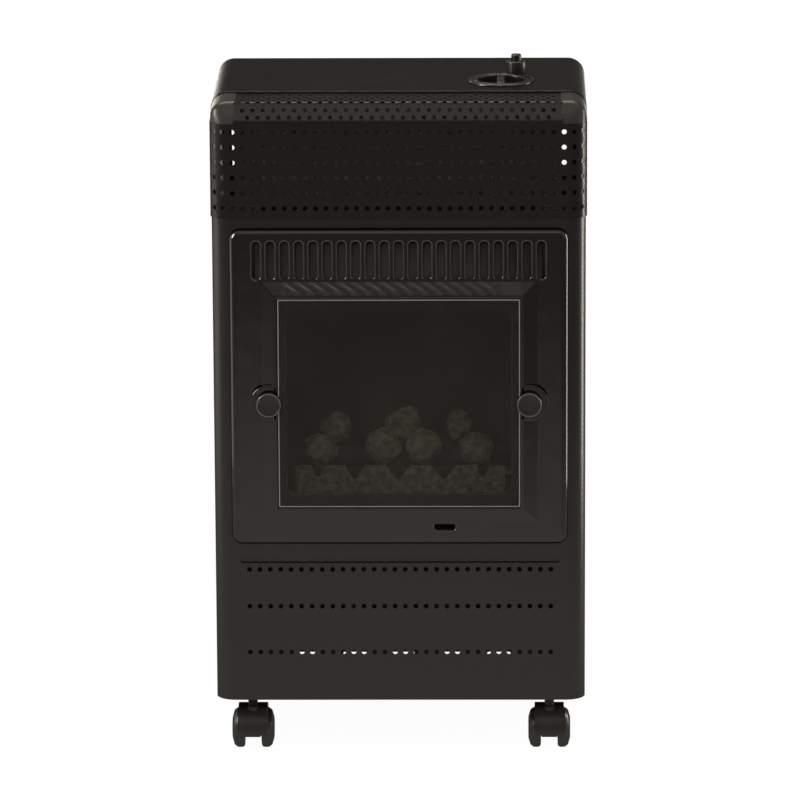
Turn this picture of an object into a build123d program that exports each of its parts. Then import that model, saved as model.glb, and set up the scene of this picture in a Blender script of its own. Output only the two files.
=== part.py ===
from build123d import *
from math import atan2, cos, degrees, hypot, pi, sin
import os

# Portable gas cabinet heater, in millimetres.
# X runs to the right as seen from the front, Y runs back, Z runs up. The origin lies on the floor,
# under the middle of the heater. Depths are measured back from the plane of the front sheet.

# ------------------------------------------------------------------ cabinet
BODY_WIDTH = 420.0        # over the folded wrap
BODY_DEPTH = 440.0        # front sheet to back edge
CABINET_HEIGHT = 694.0    # bottom edge to top of deck
CASTOR_HEIGHT = 66.0      # floor to bottom edge of the cabinet
SHEET = 1.2               # all folded steel
LAP_GAP = 0.1             # between lapped sheets
SEAT_GAP = 0.2            # between pieces that rest on each other
CORNER_RADIUS = 22.0      # upright front corners of the wrap, outside
SHOULDER_RADIUS = 18.0    # long top edges, outside
LAP = 8.0                 # how far sheets lap over each other

# Lower front: three rows of holes and a pressed groove, heights above the bottom edge
ROW_HEIGHTS = (56.8, 110.8, 154.2)
ROW_HOLES = 30
ROW_MARGIN = 39.2         # side of the cabinet in to the first hole
HOLE_PITCH = (BODY_WIDTH - 2 * ROW_MARGIN) / (ROW_HOLES - 1)
HOLE_RADIUS = 2.8
GROOVE_RISE = 165.0
GROOVE_MARGIN = 29.0      # side of the cabinet in to the end of the groove
GROOVE_WIDTH = BODY_WIDTH - 2 * GROOVE_MARGIN
GROOVE_HEIGHT = 6.4
GROOVE_DEPTH = 3.0

# ------------------------------------------------------------------ top: grille, caps and deck
GRILLE_HEIGHT = 133.9     # top of deck down to the lower edge of the grille
GRILLE_ROWS = 6
GRILLE_ROW_PITCH = 17.36
GRILLE_TOP_ROW = 34.6     # first upright row below the top of the deck
FLAT_COLUMNS = 16         # on each side of the middle one, on the flat of the front
GRILLE_COLUMNS = 21       # the same, round the corners as well
GRILLE_MARGIN = 24.7      # side of the cabinet in to the last flat column
GRILLE_PITCH = (BODY_WIDTH / 2 - GRILLE_MARGIN) / FLAT_COLUMNS
SLANT_RISE = 18.5         # height of the slanted band
SLANT_DEPTH = 12.0
SLANT_ROWS = (0.20, 0.59) # places of its rows, as parts of the way up; the next is on the bend
BAND_DROP = 4.0           # top of deck down to the bend, inside
BAND_FALL = 0.4           # the flat band rises this much towards the deck
BAND_ROWS = 5
BAND_ROW_PITCH = 9.4
FINE_HOLES = 31           # in every other row of the slanted and flat bands, one less between
FINE_RADIUS = 2.4
DECK_FRONT = 61.0
DECK_BACK = 263.0
DECK_SKIRT = 34.0         # top of deck down to the lower edge of its sides
DECK_REAR_SKIRT = 18.0
CAP_WIDTH = 27.5
CAP_WALL = 3.0
CAP_DROP = 26.0           # top of deck down to the lower edge of a cap
CAP_TONGUE = 6.0
CAP_PROUD = 1.6

# ------------------------------------------------------------------ fascia, glass and their knobs
FASCIA_MARGIN = 20.0      # side of the cabinet in to the fascia
FASCIA_WIDTH = BODY_WIDTH - 2 * FASCIA_MARGIN
FASCIA_HEIGHT = 365.0
FASCIA_GAP = 19.9         # middle of the groove up to the fascia
FASCIA_PROUD = 9.0
FASCIA_WALL = 2.5
FASCIA_CORNER = 13.0
FASCIA_ROUND = 6.0
SLOTS = 21
SLOT_MARGIN = 30.3        # side of the fascia in to the first slot
SLOT_PITCH = (FASCIA_WIDTH - 2 * SLOT_MARGIN) / (SLOTS - 1)
SLOT_WIDTH = 9.0
SLOT_HEIGHT = 43.0
SLOT_DROP = 35.4          # top of fascia down to the middle of the slots
SLOT_CORNER = 3.6
SLOT_ROUND = 1.1
WINDOW_RISE = 166.7       # bottom of fascia up to the middle of the window
GLASS_MARGIN = 54.0       # side of the fascia in to the pane
GLASS_WIDTH = FASCIA_WIDTH - 2 * GLASS_MARGIN
GLASS_HEIGHT = 240.0
GLASS_THICKNESS = 4.0
GLASS_GAP = 0.5           # round the edge of the pane
GLASS_SINK = 0.3          # pane below the crest of the moulding
CREST = 4.0               # flat top of the moulding
MOULDING_RISE = 8.0
MOULDING_RUN = 14.5
LEDGE = 9.2               # edge of the pane in to the aperture, at the sides
LEDGE_HIGH = 13.0         # the same, above and below
APERTURE_WIDTH = GLASS_WIDTH - 2 * LEDGE
APERTURE_HEIGHT = GLASS_HEIGHT - 2 * LEDGE_HIGH
APERTURE_CORNER = 12.0
BOSS_RADIUS = 21.5
SIGHT_X = 51.0
SIGHT_BELOW = 25.5        # lower edge of the pane down to the sight slot
SIGHT_DROP = GLASS_HEIGHT / 2 + SIGHT_BELOW
SIGHT_WIDTH = 24.0
SIGHT_HEIGHT = 8.0
GLASS_KNOB_OUT = 10.4     # edge of the pane out to the middle of a knob
GLASS_KNOB_X = GLASS_WIDTH / 2 + GLASS_KNOB_OUT
GLASS_KNOB_RADIUS = 14.0
GLASS_KNOB_HEIGHT = 8.0
GLASS_KNOB_GAP = 0.3
STUD_RADIUS = 3.0
STUD_HEAD_RADIUS = 6.0
STUD_HEAD = 2.5
FIT = 0.05                # radial clearance of a pin or shaft in its hole

# ------------------------------------------------------------------ firebox and fuel bed
LINER_MARGIN = 30.0       # side of the fascia in to the liner
LINER_WIDTH = FASCIA_WIDTH - 2 * LINER_MARGIN
LINER_BACK = 150.0
LINER_TOP_DROP = 6.5      # top of fascia down to the top of the liner
LINER_FLANGE = 26.0
LEDGE_FOLD = 10.0
FLOOR_DROP = 123.6        # middle of the window down to the top of the firebox floor
OPENING_MARGIN = 14.0     # fascia edge beyond the opening in the wrap
FENDER_DEPTH = 56.0
FENDER_THICKNESS = 9.0
FENDER_MARGIN = 6.8       # side of the aperture in to the fender
FENDER_WIDTH = APERTURE_WIDTH - 2 * FENDER_MARGIN
FENDER_HEIGHT = 32.0
VALLEY_DEPTH = 18.0
# Places and half widths of the valleys, as parts of the width of the fender
VALLEYS = ((-0.390, 0.031), (-0.217, 0.046), (-0.010, 0.057), (0.205, 0.057), (0.392, 0.029))
BED_MARGIN = 2.0
BED_WIDTH = FENDER_WIDTH - 2 * BED_MARGIN
BED_FRONT = 66.0
BED_STEP = 97.0
BED_BACK = 140.0
BED_RISE = 24.0           # firebox floor to underside of the bed
BED_THICKNESS = 5.5
BED_STEP_HEIGHT = 16.5
BED_SLITS = 7
# Places and widths of the coals, as parts of the width of the bed, and their heights
FRONT_COALS = ((-0.383, 0.169, 36.0), (-0.082, 0.182, 42.0), (0.112, 0.178, 41.0), (0.370, 0.174, 38.0))
REAR_COALS = ((-0.318, 0.157, 36.0), (0.013, 0.186, 41.0), (0.280, 0.136, 36.0))
FRONT_COAL_DEPTH = 29.0
REAR_COAL_DEPTH = 36.0
COAL_FACETS = 9
COAL_TWIST = 137.5        # turn from one facet to the next, in degrees
COAL_TILT = 25.0
COAL_TILT_STEP = 28.0
COAL_TURN = 57.3          # turn from one coal to the next
COAL_CUT = 0.86           # facets cut in to this part of the smallest half size
COAL_CUT_STEP = 0.03
BURNER_RADIUS = 9.0
BURNER_WALL = 1.2
BURNER_MARGIN = 6.0       # end of the bed in to the end of the burner
BURNER_LENGTH = BED_WIDTH - 2 * BURNER_MARGIN
BURNER_DEPTH = 103.0
BURNER_RISE = 12.0
BURNER_PORTS = 24
PORT_RADIUS = 1.2
BRACKET_MARGIN = 18.0     # end of the bed in to a bracket
BRACKET_X = BED_WIDTH / 2 - BRACKET_MARGIN
BRACKET_THICKNESS = 2.0
BRACKET_FRONT = 72.0
BRACKET_BACK = 136.0
PILOT_MARGIN = 24.0       # side of the liner in to the pilot
PILOT_X = LINER_WIDTH / 2 - PILOT_MARGIN
PILOT_DEPTHS = (69.0, 78.0, 87.0)   # electrode, pilot head, thermocouple
PILOT_SHELF = 15.0
PILOT_RADIUS = 4.0
ELECTRODE_RADIUS = 3.0
WIRE_RADIUS = 1.0
THERMOCOUPLE_RADIUS = 2.6
PILOT_UNDER = 9.0         # how far the three reach below the shelf
PILOT_OVER = 10.0         # and above it
WIRE_OVER = 15.0
PILOT_COLLAR = 3.0        # height of the collars that stand on the shelf
PILOT_COLLAR_WALL = 1.0

# ------------------------------------------------------------------ gas controls under and on the deck
CONTROL_MARGIN = 94.8     # side of the cabinet in to the middle of the control
CONTROL_X = BODY_WIDTH / 2 - CONTROL_MARGIN
SHIELD_BEHIND = 30.0      # back of the liner to the shield
SHIELD_DEPTH = LINER_BACK + SHIELD_BEHIND
CONTROL_AHEAD = 58.0      # middle of the control ahead of the shield
CONTROL_DEPTH = SHIELD_DEPTH - CONTROL_AHEAD
VALVE_SIZE = 36.0
VALVE_HEIGHT = 34.0
VALVE_DROP = 25.0         # top of deck down to the top of the valve
BRACKET_SIZE = 62.0
BRACKET_FLANGE = 10.0
SPINDLE_RADIUS = 4.0
SPINDLE_DEPTH = 16.0      # reach into the valve
BEZEL_RADIUS = 37.0
BEZEL_HEIGHT = 2.0
CUP_RADIUS = 26.6         # inside of the cup in the bezel, in which the knob sits
CUP_WALL = 1.5
CUP_DEPTH = 15.0          # top of deck down to the underside of the cup
CONTROL_RADIUS = 25.2
CONTROL_SINK = 10.0       # top of deck down to the underside of the knob, free to be pressed
CONTROL_HEIGHT = 4.5
GRIP_WIDTH = 9.5
GRIP_HEIGHT = 7.5
CONTROL_BORE = 10.0
IGNITER_RIGHT = 17.2      # igniter beyond the control
IGNITER_BEHIND = 38.0
IGNITER_X = CONTROL_X + IGNITER_RIGHT
IGNITER_DEPTH = CONTROL_DEPTH + IGNITER_BEHIND
IGNITER_RADIUS = 8.0
IGNITER_LENGTH = 60.0
COLLAR_RADIUS = 11.0
COLLAR_HEIGHT = 16.0
BUTTON_RADIUS = 5.75
BUTTON_STANDOFF = 7.5     # button above its collar
BUTTON_DEPTH = 24.0
BUTTON_TRAVEL = 6.0
BURNER_PIPE_RADIUS = 3.0
PILOT_PIPE_RADIUS = 2.0
PIPE_MARGIN = 16.0        # side of the cabinet in to the burner pipe
PIPE_PITCH = 9.5
BURNER_PIPE_X = BODY_WIDTH / 2 - PIPE_MARGIN
PILOT_PIPE_X = BURNER_PIPE_X + PIPE_PITCH
PIPE_BEND = 12.0
INLET_LEFT = 8.5          # inlet beside the spindle
INLET_X = CONTROL_X - INLET_LEFT
INLET_RADIUS = 5.0
NOZZLE_BORE = 2.5
NOZZLE_BARBS = 4
NOZZLE_BARB_PITCH = 7.0
NOZZLE_BARB = 4.9         # length of one barb
NOZZLE_BARB_RADIUS = 5.4
NOZZLE_NECK_RADIUS = 4.3
NOZZLE_HEX = 17.0
NOZZLE_HEX_HEIGHT = 5.6

# ------------------------------------------------------------------ bottle space
SHIELD_FOOT = 40.0        # open height under the shield
SHIELD_LEG = 22.0
NECK_MARGIN = 26.0        # side of the cabinet in to its narrower upper part
SHIELD_NECK = BODY_WIDTH / 2 - NECK_MARGIN
SHIELD_NECK_DROP = 150.0  # top of deck down to where it narrows
SHIELD_FLANGE = 16.0
COVER_RISE = 524.0        # bottom edge of the cabinet up to the top of the cover
COVER_LIP = 12.0
CHANNEL_FLANGE = 12.0
COVER_PLAY = 0.3
SIDE_SLOPE = 57.0         # depth over which the sides come down behind the deck
SIDE_FLANGE = 11.0        # edge turned in along that slope
GRIP_SLOT = (90.0, 22.0)
GRIP_SLOT_DROP = 38.0
COVER_VENTS = 6
COVER_VENT = (44.0, 8.0)
COVER_VENT_ROWS = (60.0, 80.0, 100.0)
BASE_SHEET = 1.5
BASE_RIM = 2.0
BASE_VENTS = 5
BASE_VENT = (27.0, 36.0)
BASE_VENT_PITCH = 56.0
BASE_VENT_AHEAD = 8.0     # middle of the vents ahead of the shield
TRAY_STEP = 4.0           # pressed platform on which the bottle stands
TRAY_MARGIN = 60.0        # side of the cabinet in to the platform
TRAY_BEHIND = 22.0        # shield to the front of the platform
TRAY_AHEAD = 16.0         # platform to the back edge
TRAY_CORNER = 24.0

# ------------------------------------------------------------------ castors
CASTOR_MARGIN = 40.5      # side of the cabinet in to the stems
CASTOR_X = BODY_WIDTH / 2 - CASTOR_MARGIN
CASTOR_FRONT = 27.0       # depth of the front stems
CASTOR_REAR = 45.0        # rear stems ahead of the back edge
TRAIL = 9.0               # stem to axle
WHEEL_RADIUS = 23.0
WHEEL_INNER = 9.5
WHEEL_TREAD = 7.5
WHEEL_OUTER = 24.0
WHEEL_FACE_RADIUS = 12.0  # flat middle of the outer face
WHEEL_DOME = 2.1          # how far the face bulges past a straight slope
AXLE_RADIUS = 4.0
AXLE_HALF = 20.0
WEB_HALF = 9.0
HOOD_HALF = 16.7
HOOD_RADIUS = 28.7
HOOD_WALL = 3.4
HOOD_FRONT_HEIGHT = 21.0  # floor to the lower edge of the hood at the front
HOOD_BACK_HEIGHT = 33.0
HOOD_CORE_RADIUS = 17.0
NECK_RADIUS = 5.5
HOOD_BOSS_RADIUS = 7.5
PIN_RADIUS = 4.5
PIN_DEPTH = 19.0
STEM_FLANGE_RADIUS = 13.0
STEM_FLANGE = 2.2
THREAD_RADIUS = 4.0
THREAD_REACH = 10.0
NUT_SIZE = 13.0
NUT_HEIGHT = 6.5

# ------------------------------------------------------------------ screws
SCREW_RADIUS = 2.0
SCREW_HEAD_RADIUS = 4.0
SCREW_HEAD = 2.4
SCREW_BOSS_RADIUS = 5.0
SCREW_REACH = 5.0
FASCIA_SCREW_IN = 12.0    # edge of the fascia in to its screws

# ------------------------------------------------------------------ places worked out from the sizes
BODY_BOTTOM = CASTOR_HEIGHT
DECK_TOP = BODY_BOTTOM + CABINET_HEIGHT
HALF = BODY_WIDTH / 2
INSIDE = HALF - SHEET
BEND_TOP = DECK_TOP - BAND_DROP
GRILLE_BOTTOM = DECK_TOP - GRILLE_HEIGHT
FASCIA_BOTTOM = BODY_BOTTOM + GROOVE_RISE + FASCIA_GAP
FASCIA_TOP = FASCIA_BOTTOM + FASCIA_HEIGHT
WINDOW_Z = FASCIA_BOTTOM + WINDOW_RISE
KNOB_REACH = FASCIA_PROUD + MOULDING_RISE + GLASS_KNOB_GAP + GLASS_KNOB_HEIGHT
FRONT_Y = KNOB_REACH - (BODY_DEPTH + KNOB_REACH) / 2
FACE_Y = FRONT_Y - FASCIA_PROUD
CREST_Y = FACE_Y - MOULDING_RISE
FLOOR_TOP = WINDOW_Z - FLOOR_DROP
LINER_TOP = FASCIA_TOP - LINER_TOP_DROP
BED_BOTTOM = FLOOR_TOP + BED_RISE
BED_TIER = BED_BOTTOM + BED_THICKNESS
BED_UPPER_TIER = BED_TIER + BED_STEP_HEIGHT
BURNER_Z = FLOOR_TOP + BURNER_RISE
PILOT_SHELF_Z = FLOOR_TOP + PILOT_SHELF
VALVE_TOP = DECK_TOP - VALVE_DROP
BASE_TOP = BODY_BOTTOM + BASE_RIM + BASE_SHEET
TRAY_TOP = BASE_TOP + TRAY_STEP
COVER_TOP = BODY_BOTTOM + COVER_RISE
OUTER_LAP = LAP_GAP + SHEET   # outside of a sheet that laps over the wrap
DECK_UNDER = DECK_TOP - SHEET
COVER_FRONT = BODY_DEPTH - 2 * SHEET - COVER_PLAY   # front face of the cover sheet, as a depth


# ------------------------------------------------------------------ helpers
def at(depth):
    """Y of a depth behind the front sheet."""
    return FRONT_Y + depth


def block(x, y, z):
    """A box between low and high values along each axis."""
    spans = (x, y, z)
    middle = [(low + high) / 2 for low, high in spans]
    return Pos(*middle) * Box(*[high - low for low, high in spans])


def along_x(face, left, right):
    """A side-view outline (Y, Z), drawn out from left to right."""
    return extrude(Plane.YZ.offset(left) * face, right - left)


def along_y(face, front, back):
    """A front-view outline (X, Z), drawn out from front to back."""
    return extrude(Plane.XZ.offset(-back) * face, back - front)


def along_z(face, low, high):
    """A plan outline (X, Y), drawn out from low to high."""
    return extrude(Plane.XY.offset(low) * face, high - low)


def rod_x(radius, x, y, z):
    return along_x(Pos(y, z) * Circle(radius), *x)


def rod_y(radius, x, y, z):
    return along_y(Pos(x, z) * Circle(radius), *y)


def rod_z(radius, x, y, z):
    return along_z(Pos(x, y) * Circle(radius), *z)


def mirrored(shape):
    """The same piece on the other side of the heater."""
    return mirror(shape, about=Plane.YZ)


def evenly(count, pitch):
    """Places of a row of things, centred on nought."""
    return [(index - (count - 1) / 2) * pitch for index in range(count)]


def polygon(*points):
    return make_face(Polyline(*points, close=True))


def group(solids):
    """Separate solids that share one node."""
    return Compound(children=[part.solid() for part in solids])


# ------------------------------------------------------------------ the outside form of the cabinet
def plan_outline(outset, back):
    """The cabinet seen from above, with its front corners rounded."""
    front = FRONT_Y - outset
    width = 2 * (HALF + outset)
    outline = Pos(0, (front + back) / 2) * Rectangle(width, back - front)
    corners = outline.vertices().group_by(Axis.Y)[0]
    return fillet(corners, CORNER_RADIUS + outset)


def shoulder_outline(outset, top, low):
    """The cabinet seen from the front, with its long top edges rounded."""
    width = 2 * (HALF + outset)
    outline = Pos(0, (top + low) / 2) * Rectangle(width, top - low)
    corners = outline.vertices().group_by(Axis.Y)[-1]
    return fillet(corners, SHOULDER_RADIUS + outset)


def slant_foot():
    """Height at which the upright part of the grille meets the slanted band."""
    return BEND_TOP - SLANT_RISE


def top_form(outset, back, low):
    """Solid form of the upper front: upright, slanted band, flat band, with both kinds of corner."""
    # Moving each face out by the outset moves the corners between them a little along the faces.
    slant = atan2(SLANT_RISE, SLANT_DEPTH)
    foot = slant_foot() + outset * (1 - sin(slant)) / cos(slant)
    band = BEND_TOP + outset
    bend = SLANT_DEPTH - outset * (1 - cos(slant)) / sin(slant)
    side = polygon(
        (FRONT_Y - outset, low),
        (FRONT_Y - outset, foot),
        (at(bend), band),
        (back, band + BAND_FALL),
        (back, low),
    )
    form = along_x(side, -HALF - OUTER_LAP * 4, HALF + OUTER_LAP * 4)
    form &= along_z(plan_outline(outset, back), low, DECK_TOP + OUTER_LAP * 4)
    top = band + BAND_FALL
    return form & along_y(shoulder_outline(outset, top, low), FRONT_Y - OUTER_LAP * 4, back)


# ------------------------------------------------------------------ cabinet sheets
def front_hole_places():
    """Places of the lower hole rows: X and Z."""
    return [(x, BODY_BOTTOM + rise) for rise in ROW_HEIGHTS for x in evenly(ROW_HOLES, HOLE_PITCH)]


def fascia_screw_places():
    half = FASCIA_WIDTH / 2 - FASCIA_SCREW_IN
    low = FASCIA_BOTTOM + FASCIA_SCREW_IN + SCREW_BOSS_RADIUS
    high = FASCIA_TOP - FASCIA_SCREW_IN - SCREW_BOSS_RADIUS
    return [(x, z) for x in (-half, half) for z in (low, WINDOW_Z, high)]


def side_top_outline():
    """Side view of what is left of the wrap: low at the front, high under the deck, low behind."""
    lap_top = GRILLE_BOTTOM + LAP
    cap_low = DECK_TOP - CAP_DROP - LAP
    deck_top = DECK_TOP - SHOULDER_RADIUS - OUTER_LAP
    return polygon(
        (FRONT_Y - SHEET, BODY_BOTTOM),
        (FRONT_Y - SHEET, lap_top),
        (at(DECK_FRONT - LAP), lap_top),
        (at(DECK_FRONT - LAP), cap_low),
        (at(DECK_FRONT), cap_low),
        (at(DECK_FRONT), deck_top),
        (at(DECK_BACK), deck_top),
        (at(DECK_BACK + SIDE_SLOPE), COVER_TOP),
        (at(BODY_DEPTH), COVER_TOP),
        (at(BODY_DEPTH), BODY_BOTTOM),
    )


def groove():
    """A pressed groove across the front: the recess, and the sheet round it."""
    z = BODY_BOTTOM + GROOVE_RISE
    recess = Pos(0, z) * SlotOverall(GROOVE_WIDTH, GROOVE_HEIGHT)
    around = Pos(0, z) * SlotOverall(GROOVE_WIDTH + 2 * SHEET, GROOVE_HEIGHT + 2 * SHEET)
    bottom = at(GROOVE_DEPTH)
    return along_y(recess, FRONT_Y - SHEET, bottom), along_y(around, FRONT_Y, bottom + SHEET)


def side_flange():
    """Edge turned in along the slope behind the deck, on the right."""
    run, fall = SIDE_SLOPE, DECK_TOP - SHOULDER_RADIUS - OUTER_LAP - COVER_TOP
    across = SHEET * fall / hypot(run, fall)
    down = SHEET * run / hypot(run, fall)
    start = LAP / fall
    top = (at(DECK_BACK + run * start), COVER_TOP + fall * (1 - start))
    foot = (at(DECK_BACK + run), COVER_TOP)
    edge = polygon(top, foot, (foot[0] - across, foot[1] - down), (top[0] - across, top[1] - down))
    return along_x(edge, INSIDE - SIDE_FLANGE, INSIDE + SHEET / 2)


def cabinet_wrap():
    """Front and both sides, folded from one sheet."""
    back = at(BODY_DEPTH)
    wrap = along_z(plan_outline(0, back), BODY_BOTTOM, DECK_TOP)
    wrap -= along_z(plan_outline(-SHEET, back + SHEET), BODY_BOTTOM - SHEET, DECK_TOP + SHEET)
    wrap &= along_x(side_top_outline(), -HALF - SHEET, HALF + SHEET)
    wrap = wrap + side_flange() + mirrored(side_flange())
    recess, around = groove()
    wrap = wrap + around - recess
    half = FASCIA_WIDTH / 2 - OPENING_MARGIN - LINER_FLANGE / 2
    low = FLOOR_TOP - SHEET
    opening = block((-half, half), (FRONT_Y - SHEET, at(2 * SHEET)), (low, LINER_TOP - SHEET))
    tools = [rod_y(HOLE_RADIUS, x, (FRONT_Y - SHEET, at(2 * SHEET)), z) for x, z in front_hole_places()]
    tools += [
        rod_y(SCREW_RADIUS + FIT, x, (FRONT_Y - SHEET, at(2 * SHEET)), z)
        for x, z in fascia_screw_places()
    ]
    sight = Pos(SIGHT_X, WINDOW_Z - SIGHT_DROP) * SlotOverall(SIGHT_WIDTH, SIGHT_HEIGHT)
    tools.append(along_y(sight, FRONT_Y - SHEET, at(2 * SHEET)))
    return wrap - [opening] - tools


def grille_column(index):
    """Place and heading of a column of holes, counted round the corner from the middle."""
    side = 1 if index >= 0 else -1
    run = abs(index) * GRILLE_PITCH
    radius = CORNER_RADIUS + OUTER_LAP
    flat = HALF + OUTER_LAP - radius
    arc = radius * pi / 2
    if run <= flat:
        return side * run, FRONT_Y - OUTER_LAP, 0
    if run >= flat + arc:
        return side * (HALF + OUTER_LAP), at(CORNER_RADIUS + run - flat - arc), side * 90
    turn = (run - flat) / radius
    return side * (flat + radius * sin(turn)), at(CORNER_RADIUS - radius * cos(turn)), side * degrees(turn)


def upright_grille_holes():
    """Drills for the upright rows, which carry on round both corners."""
    drills = []
    for index in range(-GRILLE_COLUMNS, GRILLE_COLUMNS + 1):
        x, y, heading = grille_column(index)
        for row in range(GRILLE_ROWS):
            z = DECK_TOP - GRILLE_TOP_ROW - row * GRILLE_ROW_PITCH
            place = Pos(x, y, z) * Rot(0, 0, heading) * Rot(90, 0, 0)
            drills.append(place * Cylinder(HOLE_RADIUS, 6 * SHEET))
    return drills


def slanted_grille_holes():
    """Drills for the staggered rows of the slanted band, square to it."""
    angle = degrees(atan2(SLANT_DEPTH, SLANT_RISE))
    drills = []
    for row, share in enumerate(SLANT_ROWS):
        y = at(share * SLANT_DEPTH) - OUTER_LAP
        z = slant_foot() + share * SLANT_RISE
        for x in evenly(FINE_HOLES - (row + 1) % 2, GRILLE_PITCH):
            drills.append(Pos(x, y, z) * Rot(90 - angle, 0, 0) * Cylinder(FINE_RADIUS, 6 * SHEET))
    return drills


def flat_grille_holes():
    """Drills for the staggered rows of the flat band, the first of them on the bend."""
    drills = []
    for row in range(BAND_ROWS):
        y = at(SLANT_DEPTH + row * BAND_ROW_PITCH)
        for x in evenly(FINE_HOLES - (row + 1) % 2, GRILLE_PITCH):
            drills.append(Pos(x, y, BEND_TOP) * Cylinder(FINE_RADIUS, 8 * SHEET))
    return drills


def top_grille():
    """Perforated sheet: upright, slanted and flat bands, wrapped round both front corners."""
    low = GRILLE_BOTTOM
    back = at(DECK_FRONT + LAP)
    grille = top_form(OUTER_LAP, back, low) - top_form(LAP_GAP, back + SHEET, low - SHEET)
    inner = HALF - CAP_WIDTH + OUTER_LAP
    for side in (-1, 1):
        x = sorted((side * inner, side * (HALF + CAP_WIDTH)))
        grille -= block(x, (FRONT_Y - CAP_WIDTH, back + SHEET), (DECK_TOP - CAP_DROP, DECK_TOP + SHEET))
        grille -= block(x, (at(DECK_FRONT), back + SHEET), (low - SHEET, DECK_TOP + SHEET))
    drills = upright_grille_holes() + slanted_grille_holes() + flat_grille_holes()
    return grille - drills


def corner_cap_left():
    """Moulded cap over the left end of the grille, with a tongue behind the sheet beside it."""
    edge = -(HALF - CAP_WIDTH + OUTER_LAP) - LAP_GAP
    low = DECK_TOP - CAP_DROP + LAP_GAP
    back = at(DECK_FRONT - LAP_GAP)
    far = -HALF - CAP_WIDTH
    front = FRONT_Y - CAP_WIDTH
    skin = top_form(CAP_PROUD, back, low) - top_form(CAP_PROUD - CAP_WALL, back - CAP_WALL, low - CAP_WALL)
    skin &= block((far, edge), (front, back), (low, DECK_TOP + CAP_WALL))
    reach = at(DECK_FRONT - LAP - LAP_GAP - FIT)
    tongue = top_form(-LAP_GAP, back, low - CAP_TONGUE)
    tongue -= top_form(CAP_PROUD - CAP_WALL, back + CAP_WALL, low - CAP_TONGUE - CAP_WALL)
    tongue &= block((far, edge + CAP_TONGUE), (front, reach), (low - CAP_TONGUE, DECK_TOP))
    return skin + tongue


def top_deck():
    """Deck plate with rounded shoulders, skirts at the sides and a short one at the back."""
    low = DECK_TOP - DECK_SKIRT
    front = at(DECK_FRONT + LAP_GAP)
    back = at(DECK_BACK)
    deck = along_y(shoulder_outline(OUTER_LAP, DECK_TOP, low), front, back)
    deck -= along_y(shoulder_outline(LAP_GAP, DECK_UNDER, low - SHEET), front - SHEET, back - SHEET)
    inside = HALF + OUTER_LAP
    hollow = (low - SHEET, DECK_TOP - DECK_REAR_SKIRT)
    deck -= block((-inside + SHEET, inside - SHEET), (back - 2 * SHEET, back + SHEET), hollow)
    reach = (DECK_UNDER - SHEET, DECK_TOP + SHEET)
    deck -= rod_z(CUP_RADIUS + CUP_WALL + LAP_GAP, CONTROL_X, at(CONTROL_DEPTH), reach)
    deck -= rod_z(IGNITER_RADIUS + LAP_GAP * 2, IGNITER_X, at(IGNITER_DEPTH), reach)
    return deck


def deck_baffle():
    """Plate that keeps the heat off the deck, hung from it by its back flange."""
    top = DECK_UNDER - SEAT_GAP
    low = top - LAP * 2
    front = at(SLANT_DEPTH + LAP)
    back = at(DECK_FRONT + 4 * LAP)
    half = SHIELD_NECK - LAP * 4
    plate = block((-half, half), (front, back), (low, low + SHEET))
    flange = block((-half, half), (back - SHEET, back), (low, top))
    turned = block((-half, half), (back - SHEET - LAP, back), (top - SHEET, top))
    return plate + flange + turned


def tray_outline(inset):
    """Plan of the platform on which the bottle stands."""
    front = at(SHIELD_DEPTH + TRAY_BEHIND)
    back = at(BODY_DEPTH - TRAY_AHEAD)
    width = BODY_WIDTH - 2 * (TRAY_MARGIN + inset)
    depth = back - front - 2 * inset
    return Pos(0, (front + back) / 2) * RectangleRounded(width, depth, TRAY_CORNER - inset)


def base_plate():
    """Floor of the cabinet: rim turned down, castor holes, five air vents, pressed bottle platform."""
    back = at(BODY_DEPTH - SHEET)
    edge = -SHEET - SEAT_GAP
    plate = along_z(plan_outline(edge, back), BODY_BOTTOM, BASE_TOP)
    plate -= along_z(plan_outline(edge - SHEET, back - SHEET), BODY_BOTTOM - SHEET, BASE_TOP - BASE_SHEET)
    plate += along_z(tray_outline(0), BASE_TOP - BASE_SHEET, TRAY_TOP)
    plate -= along_z(tray_outline(BASE_SHEET), BODY_BOTTOM - SHEET, TRAY_TOP - BASE_SHEET)
    width, depth = BASE_VENT
    for x in evenly(BASE_VENTS, BASE_VENT_PITCH):
        vent = Pos(x, at(SHIELD_DEPTH - BASE_VENT_AHEAD)) * RectangleRounded(width, depth, HOLE_RADIUS)
        plate -= along_z(vent, BODY_BOTTOM - SHEET, BASE_TOP + SHEET)
    for x, y in castor_places():
        plate -= rod_z(THREAD_RADIUS + LAP_GAP, x, y, (BODY_BOTTOM - SHEET, BASE_TOP + SHEET))
    return plate


# ------------------------------------------------------------------ fascia, glass and knobs
def rectangle(width, height, radius=0.0):
    """A front-view rectangle round the middle of the window."""
    shape = RectangleRounded(width, height, radius) if radius else Rectangle(width, height)
    return Pos(0, WINDOW_Z) * shape


def fascia_tray():
    """The pressed tray: a face with a rounded rim, open behind."""
    middle = Pos(0, (FASCIA_BOTTOM + FASCIA_TOP) / 2)
    outline = RectangleRounded(FASCIA_WIDTH, FASCIA_HEIGHT, FASCIA_CORNER)
    tray = along_y(middle * outline, FACE_Y, FRONT_Y)
    tray = fillet(tray.faces().sort_by(Axis.Y)[0].edges(), FASCIA_ROUND)
    inner = RectangleRounded(
        FASCIA_WIDTH - 2 * FASCIA_WALL, FASCIA_HEIGHT - 2 * FASCIA_WALL, FASCIA_CORNER - FASCIA_WALL
    )
    return tray - along_y(middle * inner, FACE_Y + FASCIA_WALL, at(SHEET))


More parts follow.
